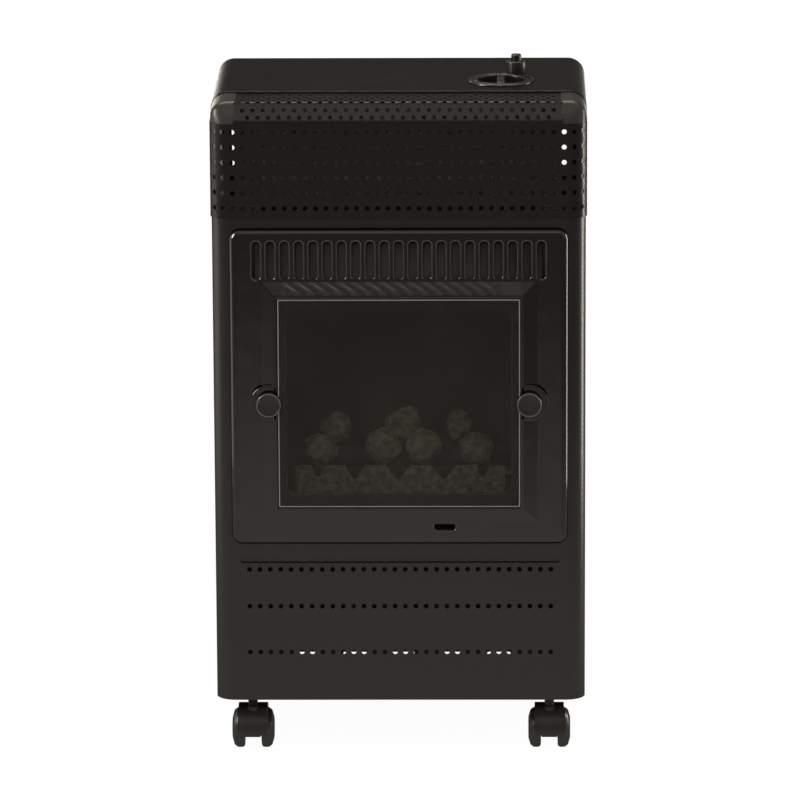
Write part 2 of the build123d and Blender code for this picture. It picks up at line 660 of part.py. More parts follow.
def moulding():
    """The mitred moulding that stands up round the glass."""
    crest_width = GLASS_WIDTH + 2 * (GLASS_GAP + CREST)
    crest_height = GLASS_HEIGHT + 2 * (GLASS_GAP + CREST)
    foot = rectangle(crest_width + 2 * MOULDING_RUN, crest_height + 2 * MOULDING_RUN)
    crest = rectangle(crest_width, crest_height)
    return loft([Plane.XZ.offset(-FACE_Y) * foot, Plane.XZ.offset(-CREST_Y) * crest], ruled=True)


def slot_outline():
    return RectangleRounded(SLOT_WIDTH, SLOT_HEIGHT, SLOT_CORNER)


def slot_z():
    return FASCIA_TOP - SLOT_DROP


def window_fascia():
    """Enamelled surround of the window: slots, moulding, knob bosses and sight slot."""
    fascia = fascia_tray()
    through = (CREST_Y - FASCIA_WALL, at(SHEET))
    slots = [along_y(Pos(x, slot_z()) * slot_outline(), *through) for x in evenly(SLOTS, SLOT_PITCH)]
    sight = Pos(SIGHT_X, WINDOW_Z - SIGHT_DROP) * SlotOverall(SIGHT_WIDTH, SIGHT_HEIGHT)
    fascia = fascia - slots - [along_y(sight, *through)]
    rims = [edge for edge in fascia.edges() if on_slot_rim(edge)]
    fascia = fillet(rims, SLOT_ROUND)
    back = FACE_Y + FASCIA_WALL
    fascia += moulding()
    for x in (-GLASS_KNOB_X, GLASS_KNOB_X):
        fascia += rod_y(BOSS_RADIUS, x, (CREST_Y, back), WINDOW_Z)
    pocket = rectangle(GLASS_WIDTH + 2 * GLASS_GAP, GLASS_HEIGHT + 2 * GLASS_GAP)
    fascia -= along_y(pocket, CREST_Y - FASCIA_WALL, FACE_Y)
    fascia -= along_y(rectangle(APERTURE_WIDTH, APERTURE_HEIGHT, APERTURE_CORNER), *through)
    for x, z in fascia_screw_places():
        fascia += rod_y(SCREW_BOSS_RADIUS, x, (FACE_Y + FASCIA_WALL / 2, FRONT_Y), z)
        fascia -= rod_y(SCREW_RADIUS + FIT, x, (FRONT_Y - SCREW_REACH - FIT, at(SHEET)), z)
    for x in (-GLASS_KNOB_X, GLASS_KNOB_X):
        fascia -= rod_y(STUD_RADIUS + FIT, x, through, WINDOW_Z)
    return fascia


def on_slot_rim(edge):
    """True for an edge on the face, round one of the slots or the sight slot."""
    middle = edge.center()
    on_face = abs(middle.Y - FACE_Y) < FIT
    high = abs(middle.Z - slot_z()) < SLOT_HEIGHT / 2 + FIT
    low = abs(middle.Z - (WINDOW_Z - SIGHT_DROP)) < SIGHT_HEIGHT / 2 + FIT
    near = abs(middle.X) < SLOTS * SLOT_PITCH / 2
    return on_face and near and (high or low)


def window_glass():
    """The pane, in the pocket of the moulding."""
    front = CREST_Y + GLASS_SINK
    pane = along_y(rectangle(GLASS_WIDTH, GLASS_HEIGHT, GLASS_GAP * 2), front, front + GLASS_THICKNESS)
    return chamfer(pane.faces().sort_by(Axis.Y)[0].edges(), GLASS_GAP)


def glass_gasket():
    """Rope seal between the pane and the ledge behind it."""
    front = CREST_Y + GLASS_SINK + GLASS_THICKNESS + LAP_GAP
    frame = along_y(rectangle(GLASS_WIDTH - GLASS_GAP, GLASS_HEIGHT - GLASS_GAP), front, FACE_Y - LAP_GAP)
    inner = rectangle(APERTURE_WIDTH + GLASS_GAP, APERTURE_HEIGHT + GLASS_GAP, APERTURE_CORNER)
    return frame - along_y(inner, front - SHEET, FRONT_Y)


def glass_knob(x):
    """Round retaining knob: its rim bears on the edge of the pane."""
    back = CREST_Y - GLASS_KNOB_GAP
    front = back - GLASS_KNOB_HEIGHT
    knob = rod_y(GLASS_KNOB_RADIUS, x, (front, back), WINDOW_Z)
    knob = fillet(knob.faces().sort_by(Axis.Y)[0].edges(), GLASS_KNOB_HEIGHT / 4)
    return knob - rod_y(STUD_RADIUS + FIT, x, (front + GLASS_KNOB_HEIGHT / 4, back + SHEET), WINDOW_Z)


def glass_knob_studs():
    """Two studs, each with its head behind the fascia."""
    studs = []
    head = FACE_Y + FASCIA_WALL
    tip = CREST_Y - GLASS_KNOB_GAP - GLASS_KNOB_HEIGHT * 3 / 4 + FIT
    for x in (-GLASS_KNOB_X, GLASS_KNOB_X):
        stud = rod_y(STUD_RADIUS, x, (tip, head + STUD_HEAD), WINDOW_Z)
        studs.append(stud + rod_y(STUD_HEAD_RADIUS, x, (head, head + STUD_HEAD), WINDOW_Z))
    return group(studs)


def fascia_screws():
    """Screws that hold the fascia and the firebox liner to the wrap, driven from inside."""
    screws = []
    seat = at(2 * SHEET + SEAT_GAP)
    for x, z in fascia_screw_places():
        shank = rod_y(SCREW_RADIUS, x, (FRONT_Y - SCREW_REACH, seat), z)
        screws.append(shank + rod_y(SCREW_HEAD_RADIUS, x, (seat, seat + SCREW_HEAD), z))
    return group(screws)


# ------------------------------------------------------------------ firebox and fuel bed
def firebox_liner():
    """Folded liner: back, sides, front flanges against the wrap, and a ledge for the floor."""
    half = LINER_WIDTH / 2
    front = at(SHEET + SEAT_GAP / 2)
    back = at(LINER_BACK)
    low = FLOOR_TOP - 2 * SHEET - SEAT_GAP
    liner = block((-half, half), (front, back), (low, LINER_TOP))
    within = (-half + SHEET, half - SHEET)
    liner -= block(within, (front - SHEET, back - SHEET), (low - SHEET, LINER_TOP + SHEET))
    edge = half + LINER_FLANGE
    for side in (-1, 1):
        x = sorted((side * (half - SHEET), side * edge))
        liner += block(x, (front, front + SHEET), (low, LINER_TOP))
        ledge = sorted((side * half, side * (half - LEDGE_FOLD)))
        liner += block(ledge, (front, back), (low, low + SHEET))
    for x, z in fascia_screw_places():
        liner -= rod_y(SCREW_RADIUS + FIT, x, (front - SHEET, front + 2 * SHEET), z)
    wall = (half - 2 * SHEET, half + SHEET)
    liner -= rod_x(BURNER_PIPE_RADIUS + SHEET, wall, at(BURNER_DEPTH), BURNER_Z)
    pilot_z = PILOT_SHELF_Z - PILOT_RADIUS
    return liner - rod_x(PILOT_PIPE_RADIUS + SHEET, wall, at(PILOT_DEPTHS[1]), pilot_z)


def firebox_floor():
    """Plate under the fuel bed, on the ledges of the liner."""
    half = LINER_WIDTH / 2 - SHEET - SEAT_GAP
    front = at(2 * SHEET + 2 * SEAT_GAP)
    back = at(LINER_BACK - SHEET - SEAT_GAP)
    return block((-half, half), (front, back), (FLOOR_TOP - SHEET, FLOOR_TOP))


def coal_fender():
    """Ceramic front edge of the fuel bed, with V-shaped valleys between flat teeth."""
    low = FLOOR_TOP + SEAT_GAP
    top = low + FENDER_HEIGHT
    half = FENDER_WIDTH / 2
    front = at(FENDER_DEPTH)
    fender = block((-half, half), (front, front + FENDER_THICKNESS), (low, top))
    for place, spread in VALLEYS:
        x = place * FENDER_WIDTH
        reach = spread * FENDER_WIDTH
        notch = polygon((x, top - VALLEY_DEPTH), (x + reach, top), (x - reach, top))
        fender -= along_y(notch, front - SHEET, front + FENDER_THICKNESS + SHEET)
    return fender


def coal_bed():
    """Ceramic bed in two tiers; the flames rise between them."""
    half = BED_WIDTH / 2
    profile = polygon(
        (at(BED_FRONT), BED_BOTTOM),
        (at(BED_FRONT), BED_TIER),
        (at(BED_STEP), BED_TIER),
        (at(BED_STEP), BED_UPPER_TIER),
        (at(BED_BACK), BED_UPPER_TIER),
        (at(BED_BACK), BED_BOTTOM),
    )
    bed = along_x(profile, -half, half)
    pitch = BED_WIDTH / (BED_SLITS + 1)
    for x in evenly(BED_SLITS, pitch):
        slit = Pos(x, at(BED_STEP - HOLE_RADIUS)) * SlotOverall(pitch * 2 / 3, HOLE_RADIUS)
        bed -= along_z(slit, BED_BOTTOM - SHEET, BED_UPPER_TIER + SHEET)
    return bed


def coal(size, turn):
    """One ceramic coal: a rounded lump with facets, flat underneath, standing on nought."""
    width, length, height = size
    lump = scale(Sphere(1), by=(width / 2, length / 2, height / 2))
    knife = Box(4 * width, 4 * width, 2 * width)
    for index in range(COAL_FACETS):
        heading = index * COAL_TWIST + turn
        tilt = COAL_TILT + COAL_TILT_STEP * (index % 5)
        cut = min(size) / 2 * (COAL_CUT + COAL_CUT_STEP * (index % 3))
        lump -= Rot(0, 0, heading) * Rot(0, tilt, 0) * Pos(0, 0, cut + width) * knife
    low = lump.bounding_box().min.Z
    flat = low + height / 12
    lump -= block((-width, width), (-width, width), (low - width, flat))
    return Pos(0, 0, -flat) * lump


def coal_row(coals, depth, length, seat, turn):
    """A row of coals on one tier of the bed."""
    lumps = []
    for index, (place, width, height) in enumerate(coals):
        lump = coal((width * BED_WIDTH, length, height), turn + index * COAL_TURN)
        lumps.append(Pos(place * BED_WIDTH, at(depth), seat) * lump)
    return group(lumps)


def coals_front():
    """The row of coals behind the fender."""
    depth = (FENDER_DEPTH + FENDER_THICKNESS + BED_STEP) / 2
    return coal_row(FRONT_COALS, depth, FRONT_COAL_DEPTH, BED_TIER + SEAT_GAP, 0)


def coals_rear():
    """The row of coals on the upper tier."""
    depth = (BED_STEP + BED_BACK) / 2
    return coal_row(REAR_COALS, depth, REAR_COAL_DEPTH, BED_UPPER_TIER + SEAT_GAP, COAL_TURN / 2)


def burner_tube():
    """Bar burner with a row of ports, closed at its left end."""
    half = BURNER_LENGTH / 2
    y = at(BURNER_DEPTH)
    tube = rod_x(BURNER_RADIUS, (-half, half), y, BURNER_Z)
    tube -= rod_x(BURNER_RADIUS - BURNER_WALL, (-half + BURNER_WALL, half - BURNER_WALL), y, BURNER_Z)
    tube -= rod_x(BURNER_PIPE_RADIUS + FIT, (half - 2 * BURNER_WALL, half + BURNER_WALL), y, BURNER_Z)
    reach = (BURNER_Z, BURNER_Z + 2 * BURNER_RADIUS)
    ports = evenly(BURNER_PORTS, 2 * (BRACKET_X - LEDGE_FOLD) / BURNER_PORTS)
    return tube - [rod_z(PORT_RADIUS, x, y, reach) for x in ports]


def burner_brackets():
    """Two plates that carry the burner and the bed."""
    plates = []
    low = FLOOR_TOP + SEAT_GAP
    span = (at(BRACKET_FRONT), at(BRACKET_BACK))
    for side in (-1, 1):
        x = sorted((side * BRACKET_X, side * (BRACKET_X + BRACKET_THICKNESS)))
        plate = block(x, span, (low, BED_BOTTOM - SEAT_GAP))
        foot = sorted((side * BRACKET_X, side * (BRACKET_X - LEDGE_FOLD)))
        plate += block(foot, span, (low, low + SHEET))
        through = (x[0] - SHEET, x[1] + SHEET)
        plates.append(plate - rod_x(BURNER_RADIUS + FIT, through, at(BURNER_DEPTH), BURNER_Z))
    return group(plates)


def pilot_bracket():
    """Bracket beside the burner with three holes in its shelf."""
    left = PILOT_X - 2.5 * PILOT_RADIUS
    right = PILOT_X + 2 * PILOT_RADIUS
    front = at(PILOT_DEPTHS[0] - 1.5 * PILOT_RADIUS)
    back = at(PILOT_DEPTHS[2] + 1.5 * PILOT_RADIUS)
    low = FLOOR_TOP + SEAT_GAP
    shelf = block((left, right), (front, back), (PILOT_SHELF_Z, PILOT_SHELF_Z + SHEET))
    leg = block((left, left + SHEET), (front, back), (low, PILOT_SHELF_Z + SHEET))
    foot = block((left - LEDGE_FOLD / 2, left + SHEET), (front, back), (low, low + SHEET))
    bracket = shelf + leg + foot
    reach = (PILOT_SHELF_Z - SHEET, PILOT_SHELF_Z + 2 * SHEET)
    for depth, radius in zip(PILOT_DEPTHS, pilot_radii()):
        bracket -= rod_z(radius + FIT, PILOT_X, at(depth), reach)
    return bracket


def pilot_radii():
    """Electrode, pilot head and thermocouple, as their holes need them."""
    return ELECTRODE_RADIUS, PILOT_RADIUS, THERMOCOUPLE_RADIUS


def pilot_post(index):
    """A round post through the shelf, with the collar on which it stands."""
    radius = pilot_radii()[index]
    y = at(PILOT_DEPTHS[index])
    seat = PILOT_SHELF_Z + SHEET + FIT
    post = rod_z(radius, PILOT_X, y, (PILOT_SHELF_Z - PILOT_UNDER, PILOT_SHELF_Z + PILOT_OVER))
    return post + rod_z(radius + PILOT_COLLAR_WALL, PILOT_X, y, (seat, seat + PILOT_COLLAR))


def spark_electrode():
    """Ceramic insulator with its wire, bent towards the pilot head."""
    y = at(PILOT_DEPTHS[0])
    top = PILOT_SHELF_Z + WIRE_OVER
    wire = rod_z(WIRE_RADIUS, PILOT_X, y, (PILOT_SHELF_Z, top))
    tip = rod_y(WIRE_RADIUS, PILOT_X, (y, y + PILOT_RADIUS), top - WIRE_RADIUS)
    return pilot_post(0) + wire + tip


def pilot_burner():
    """Small head that the pilot pipe feeds from the side."""
    y = at(PILOT_DEPTHS[1])
    bore = (PILOT_SHELF_Z + PILOT_COLLAR, PILOT_SHELF_Z + PILOT_OVER + SHEET)
    return pilot_post(1) - rod_z(PILOT_RADIUS / 2, PILOT_X, y, bore)


def thermocouple():
    """Sensing tip beside the pilot flame."""
    return pilot_post(2)


# ------------------------------------------------------------------ gas controls
def valve_span():
    """X and Y ranges of the valve body."""
    half = VALVE_SIZE / 2
    y = at(CONTROL_DEPTH)
    return (CONTROL_X - half, CONTROL_X + half), (y - half, y + half)


def gas_valve_body():
    """Cast valve with the bore for its spindle and unions for three pipes."""
    x, y = valve_span()
    body = block(x, y, (VALVE_TOP - VALVE_HEIGHT, VALVE_TOP))
    body = fillet(body.edges().filter_by(Axis.Z), SCREW_RADIUS)
    neck = rod_z(2 * SPINDLE_RADIUS, CONTROL_X, at(CONTROL_DEPTH), (VALVE_TOP, VALVE_TOP + LAP))
    bore = (VALVE_TOP - SPINDLE_DEPTH - LAP, VALVE_TOP + 2 * LAP)
    return body + neck - rod_z(SPINDLE_RADIUS + FIT, CONTROL_X, at(CONTROL_DEPTH), bore)


def valve_bracket():
    """Folded bracket that hangs the valve from the deck and stands clear of the cup of the control."""
    half = BRACKET_SIZE / 2
    y = at(CONTROL_DEPTH)
    span = (y - half / 2, y + half / 2)
    top = DECK_UNDER - SEAT_GAP
    low = VALVE_TOP + LAP_GAP
    frame = block((CONTROL_X - half, CONTROL_X + half), span, (low, top))
    inner = (CONTROL_X - half + SHEET, CONTROL_X + half - SHEET)
    frame -= block(inner, (y - half, y + half), (low + SHEET, top + SHEET))
    for side in (-1, 1):
        x = sorted((CONTROL_X + side * half, CONTROL_X + side * (half + BRACKET_FLANGE)))
        frame += block(x, span, (top - SHEET, top))
    return frame - rod_z(2 * SPINDLE_RADIUS + FIT, CONTROL_X, y, (low - SHEET, low + 2 * SHEET))


def valve_spindle():
    """Spindle that carries the control knob and is pressed to light the pilot."""
    top = DECK_TOP - CONTROL_SINK + CONTROL_BORE - SHEET
    return rod_z(SPINDLE_RADIUS, CONTROL_X, at(CONTROL_DEPTH), (VALVE_TOP - SPINDLE_DEPTH, top))


def control_knob():
    """Round knob, sunk in its cup, with a grip bar across it."""
    y = at(CONTROL_DEPTH)
    low = DECK_TOP - CONTROL_SINK
    disc = rod_z(CONTROL_RADIUS, CONTROL_X, y, (low, low + CONTROL_HEIGHT))
    disc = fillet(disc.faces().sort_by(Axis.Z)[-1].edges(), CONTROL_HEIGHT / 4)
    half = CONTROL_RADIUS - CONTROL_HEIGHT / 3
    outline = Pos(CONTROL_X, y) * SlotOverall(2 * half, GRIP_WIDTH, rotation=90)
    grip = along_z(outline, low + CONTROL_HEIGHT / 2, low + CONTROL_HEIGHT + GRIP_HEIGHT)
    grip = fillet(grip.faces().sort_by(Axis.Z)[-1].edges(), GRIP_WIDTH / 5)
    knob = disc + grip
    return knob - rod_z(SPINDLE_RADIUS + FIT, CONTROL_X, y, (low - SHEET, low + CONTROL_BORE))


def control_bezel():
    """Flat ring on the deck, and the cup that hangs from it round the control knob."""
    y = at(CONTROL_DEPTH)
    low = DECK_TOP + SEAT_GAP / 2
    floor = DECK_TOP - CUP_DEPTH
    ring = rod_z(BEZEL_RADIUS, CONTROL_X, y, (low, low + BEZEL_HEIGHT))
    ring = fillet(ring.faces().sort_by(Axis.Z)[-1].edges(), BEZEL_HEIGHT / 2)
    ring += rod_z(CUP_RADIUS + CUP_WALL, CONTROL_X, y, (floor, low + BEZEL_HEIGHT / 2))
    ring -= rod_z(CUP_RADIUS, CONTROL_X, y, (floor + CUP_WALL, low + 2 * BEZEL_HEIGHT))
    reach = (floor - SHEET, low + 2 * BEZEL_HEIGHT)
    ring -= rod_z(SPINDLE_RADIUS + SHEET / 2, CONTROL_X, y, reach)
    return ring - rod_z(COLLAR_RADIUS + SEAT_GAP, IGNITER_X, at(IGNITER_DEPTH), reach)


def igniter_body():
    """Piezo igniter that hangs through the deck, with the bore for its button."""
    y = at(IGNITER_DEPTH)
    top = DECK_TOP + COLLAR_HEIGHT - SHEET - FIT
    body = rod_z(IGNITER_RADIUS, IGNITER_X, y, (DECK_TOP - IGNITER_LENGTH, top))
    under = DECK_UNDER - SEAT_GAP
    body += rod_z(IGNITER_RADIUS + BEZEL_HEIGHT, IGNITER_X, y, (under - 2 * BEZEL_HEIGHT, under))
    bore = top - BUTTON_DEPTH
    return body - rod_z(BUTTON_RADIUS + FIT, IGNITER_X, y, (bore, top + SHEET))


def igniter_collar():
    """Ribbed nut that clamps the igniter to the deck."""
    y = at(IGNITER_DEPTH)
    low = DECK_TOP + LAP_GAP
    top = DECK_TOP + COLLAR_HEIGHT
    collar = rod_z(COLLAR_RADIUS, IGNITER_X, y, (low, top))
    collar = fillet(collar.faces().sort_by(Axis.Z)[-1].edges(), SCREW_RADIUS)
    collar -= rod_z(IGNITER_RADIUS + FIT, IGNITER_X, y, (low - SHEET, top - SHEET))
    return collar - rod_z(BUTTON_RADIUS + 2 * FIT, IGNITER_X, y, (low, top + SHEET))


def igniter_button():
    """Push-button of the igniter."""
    y = at(IGNITER_DEPTH)
    top = DECK_TOP + COLLAR_HEIGHT + BUTTON_STANDOFF
    low = top - BUTTON_STANDOFF - BUTTON_DEPTH + BUTTON_TRAVEL + SHEET
    button = rod_z(BUTTON_RADIUS, IGNITER_X, y, (low, top))
    return fillet(button.faces().sort_by(Axis.Z)[-1].edges(), BUTTON_RADIUS / 4)


def pipe(points, radius):
    """A rigid pipe along straight runs with round bends."""
    path = FilletPolyline(*points, radius=PIPE_BEND)
    start = Plane(origin=path @ 0, z_dir=path % 0)
    return sweep(start * Circle(radius), path=path)


def burner_pipe():
    """From the right of the valve, down beside the firebox, into the burner."""
    start = valve_span()[0][1] + FIT
    high = VALVE_TOP - VALVE_HEIGHT / 2
    x = BURNER_PIPE_X
    end = BURNER_LENGTH / 2 - BURNER_WALL
    return pipe([
        (start, at(CONTROL_DEPTH), high),
        (x, at(CONTROL_DEPTH), high),
        (x, at(BURNER_DEPTH), high - 5 * PIPE_BEND),
        (x, at(BURNER_DEPTH), BURNER_Z),
        (end, at(BURNER_DEPTH), BURNER_Z),
    ], BURNER_PIPE_RADIUS)


def pilot_pipe():
    """From the valve to the pilot head."""
    start = valve_span()[0][1] + FIT
    depth = CONTROL_DEPTH - PIPE_BEND
    high = VALVE_TOP - VALVE_HEIGHT * 3 / 4
    low = PILOT_SHELF_Z - PILOT_RADIUS
    x = PILOT_PIPE_X
    return pipe([
        (start, at(depth), high),
        (x, at(depth), high),
        (x, at(PILOT_DEPTHS[1]), high - 5 * PIPE_BEND),
        (x, at(PILOT_DEPTHS[1]), low),
        (PILOT_X + PILOT_RADIUS + FIT, at(PILOT_DEPTHS[1]), low),
    ], PILOT_PIPE_RADIUS)


def inlet_z():
    return VALVE_TOP - VALVE_HEIGHT / 2


def inlet_pipe():
    """Short pipe from the back of the valve to the hose nozzle."""
    back = valve_span()[1][1]
    end = at(SHIELD_DEPTH) - NOZZLE_HEX_HEIGHT - SEAT_GAP
    return rod_y(INLET_RADIUS, INLET_X, (back + FIT, end - FIT), inlet_z())


def hose_nozzle():
    """Brass nozzle with barbs for the gas hose, screwed through the shield."""
    z = inlet_z()
    front = at(SHIELD_DEPTH) - NOZZLE_HEX_HEIGHT - SEAT_GAP
    hexagon = Pos(INLET_X, z) * RegularPolygon(NOZZLE_HEX / 2, 6, major_radius=False)
    nozzle = along_y(hexagon, front, front + NOZZLE_HEX_HEIGHT)
    neck = at(SHIELD_DEPTH + SHEET) + LAP
    nozzle += rod_y(NOZZLE_BARB_RADIUS, INLET_X, (front, neck), z)
    nozzle += rod_y(NOZZLE_NECK_RADIUS, INLET_X, (neck, neck + NOZZLE_BARBS * NOZZLE_BARB_PITCH), z)
    for index in range(NOZZLE_BARBS):
        start = neck + index * NOZZLE_BARB_PITCH
        barb = Cone(NOZZLE_BARB_RADIUS, NOZZLE_NECK_RADIUS, NOZZLE_BARB)
        nozzle += Pos(INLET_X, start + NOZZLE_BARB_PITCH - NOZZLE_BARB / 2, z) * Rot(-90, 0, 0) * barb
    end = neck + (NOZZLE_BARBS + 1) * NOZZLE_BARB_PITCH
    return nozzle - rod_y(NOZZLE_BORE, INLET_X, (front - SHEET, end), z)


# ------------------------------------------------------------------ bottle space
def rear_shield():
    """Upright sheet between the firebox and the bottle, on two legs, narrower at the top."""
    wide = INSIDE - SEAT_GAP
    low = BASE_TOP + SEAT_GAP
    foot = BODY_BOTTOM + SHIELD_FOOT
    top = DECK_UNDER - SEAT_GAP
    neck = DECK_TOP - SHIELD_NECK_DROP
    outline = polygon(
        (-wide, low), (-wide + SHIELD_LEG, low), (-wide + SHIELD_LEG, foot),
        (wide - SHIELD_LEG, foot), (wide - SHIELD_LEG, low), (wide, low),
        (wide, neck), (SHIELD_NECK, neck), (SHIELD_NECK, top),
        (-SHIELD_NECK, top), (-SHIELD_NECK, neck), (-wide, neck),
    )
    front = at(SHIELD_DEPTH)
    shield = along_y(outline, front, front + SHEET)
    shield += block((-SHIELD_NECK, SHIELD_NECK), (front, front + SHIELD_FLANGE), (top - SHEET, top))
    for side in (-1, 1):
        x = sorted((side * wide, side * (wide - SHEET)))
        shield += block(x, (front, front + SHIELD_FLANGE), (low, neck))
    through = (front - SHEET, front + 2 * SHEET)
    return shield - rod_y(NOZZLE_BARB_RADIUS + SEAT_GAP, INLET_X, through, inlet_z())


def cover_channels():
    """Two folded channels in which the edges of the rear cover slide."""
    channels = []
    front = at(COVER_FRONT - COVER_PLAY - SHEET)
    back = at(BODY_DEPTH)
    gap = (at(COVER_FRONT - COVER_PLAY), at(BODY_DEPTH - SHEET))
    outer = INSIDE - SEAT_GAP
    low = BASE_TOP + SEAT_GAP
    for side in (-1, 1):
        x = sorted((side * outer, side * (outer - CHANNEL_FLANGE)))
        channel = block(x, (front, back), (low, COVER_TOP))
        hollow = sorted((side * (outer - SHEET), side * (outer - 2 * CHANNEL_FLANGE)))
        channels.append(channel - block(hollow, gap, (low - SHEET, COVER_TOP + SHEET)))
    return group(channels)


def rear_cover():
    """Lift-off cover of the bottle space: finger slot, folded lip and vents."""
    half = INSIDE - SEAT_GAP - SHEET - COVER_PLAY
    low = BASE_TOP + SEAT_GAP
    front = at(COVER_FRONT)
    cover = block((-half, half), (front, front + SHEET), (low, COVER_TOP))
    lip = half - 2 * CHANNEL_FLANGE
    cover += block((-lip, lip), (front - COVER_LIP, front + SHEET), (COVER_TOP - SHEET, COVER_TOP))
    through = (front - SHEET, front + 2 * SHEET)
    grip = Pos(0, COVER_TOP - GRIP_SLOT_DROP) * SlotOverall(*GRIP_SLOT)
    cover -= along_y(grip, *through)
    pitch = 2 * half / (COVER_VENTS + 1)
    for rise in COVER_VENT_ROWS:
        for x in evenly(COVER_VENTS, pitch):
            cover -= along_y(Pos(x, BODY_BOTTOM + rise) * SlotOverall(*COVER_VENT), *through)
    return cover


# ------------------------------------------------------------------ castors
def castor_places():
    """X and Y of the four stems: front left, front right, rear left, rear right."""
    depths = (CASTOR_FRONT, BODY_DEPTH - CASTOR_REAR)
    return [(x, at(depth)) for depth in depths for x in (-CASTOR_X, CASTOR_X)]


def castor_stem(x, y):
    """Stem with its swivel pin, neck, flange under the base and thread above it."""
    shoulder = hood_top() + GLASS_KNOB_GAP
    under = BODY_BOTTOM + BASE_RIM
    flange = under - STEM_FLANGE - FIT
    stem = rod_z(PIN_RADIUS, x, y, (shoulder - PIN_DEPTH, shoulder))
    stem += rod_z(NECK_RADIUS, x, y, (shoulder, flange))
    stem += rod_z(STEM_FLANGE_RADIUS, x, y, (flange, under - FIT))
    return stem + rod_z(THREAD_RADIUS, x, y, (under - FIT, BASE_TOP + THREAD_REACH))


def hood_top():
    return WHEEL_RADIUS + HOOD_RADIUS


def castor_stems():
    return group([castor_stem(x, y) for x, y in castor_places()])


def castor_nuts():
    """Nuts on the stems, on top of the base plate."""
    nuts = []
    low = BASE_TOP + FIT
    for x, y in castor_places():
        hexagon = Pos(x, y) * RegularPolygon(NUT_SIZE / 2, 6, major_radius=False)
        nut = along_z(hexagon, low, low + NUT_HEIGHT)
        through = (low - SHEET, low + NUT_HEIGHT + SHEET)
        nuts.append(nut - rod_z(THREAD_RADIUS + FIT, x, y, through))
    return group(nuts)


def castor_hood(x, y):
    """Swivelling hood: a web between the wheels and an arch over them."""
    axle_y = y + TRAIL
    reach = 2 * HOOD_RADIUS
    across = (x - HOOD_HALF - SHEET, x + HOOD_HALF + SHEET)
    arch = rod_x(HOOD_RADIUS, (x - HOOD_HALF, x + HOOD_HALF), axle_y, WHEEL_RADIUS)
    arch -= rod_x(HOOD_RADIUS - HOOD_WALL, across, axle_y, WHEEL_RADIUS)
    arch -= block(across, (axle_y - reach, axle_y), (-reach, HOOD_FRONT_HEIGHT))
    arch -= block(across, (axle_y, axle_y + reach), (-reach, HOOD_BACK_HEIGHT))
    between = (x - WEB_HALF, x + WEB_HALF)
    web = rod_x(HOOD_RADIUS - HOOD_WALL / 3, between, axle_y, WHEEL_RADIUS)
    web -= block(across, (axle_y - reach, axle_y + reach), (-reach, WHEEL_RADIUS - AXLE_RADIUS))
    web += rod_x(HOOD_CORE_RADIUS / 2, between, axle_y, WHEEL_RADIUS)
    boss = rod_z(HOOD_BOSS_RADIUS, x, y, (WHEEL_RADIUS + PIN_RADIUS, hood_top()))
    hood = arch + web + boss
    shoulder = hood_top() + GLASS_KNOB_GAP
    hood -= rod_z(PIN_RADIUS + FIT, x, y, (shoulder - PIN_DEPTH - FIT, shoulder + SHEET))
    return hood - rod_x(AXLE_RADIUS + FIT / 2, across, axle_y, WHEEL_RADIUS)


def castor_axle(x, y):
    return rod_x(AXLE_RADIUS, (x - AXLE_HALF, x + AXLE_HALF), y + TRAIL, WHEEL_RADIUS)


def castor_wheel(x, y, side):
    """Domed wheel with a blind bore, on one side of the hood."""
    tread = WHEEL_INNER + WHEEL_TREAD
    bulge = ((tread + WHEEL_OUTER) / 2 + WHEEL_DOME, (WHEEL_RADIUS + WHEEL_FACE_RADIUS) / 2 + WHEEL_DOME)
    edge = ThreePointArc((tread, WHEEL_RADIUS), bulge, (WHEEL_OUTER, WHEEL_FACE_RADIUS))
    bore = AXLE_RADIUS + FIT
    end = AXLE_HALF + SEAT_GAP
    outline = Polyline(
        (WHEEL_OUTER, WHEEL_FACE_RADIUS), (WHEEL_OUTER, 0), (end, 0), (end, bore),
        (WHEEL_INNER, bore), (WHEEL_INNER, WHEEL_RADIUS), (tread, WHEEL_RADIUS),
    )
    wheel = revolve(make_face(outline + edge), Axis.X)
    if side < 0:
        wheel = mirrored(wheel)
    return Pos(x, y + TRAIL, WHEEL_RADIUS) * wheel


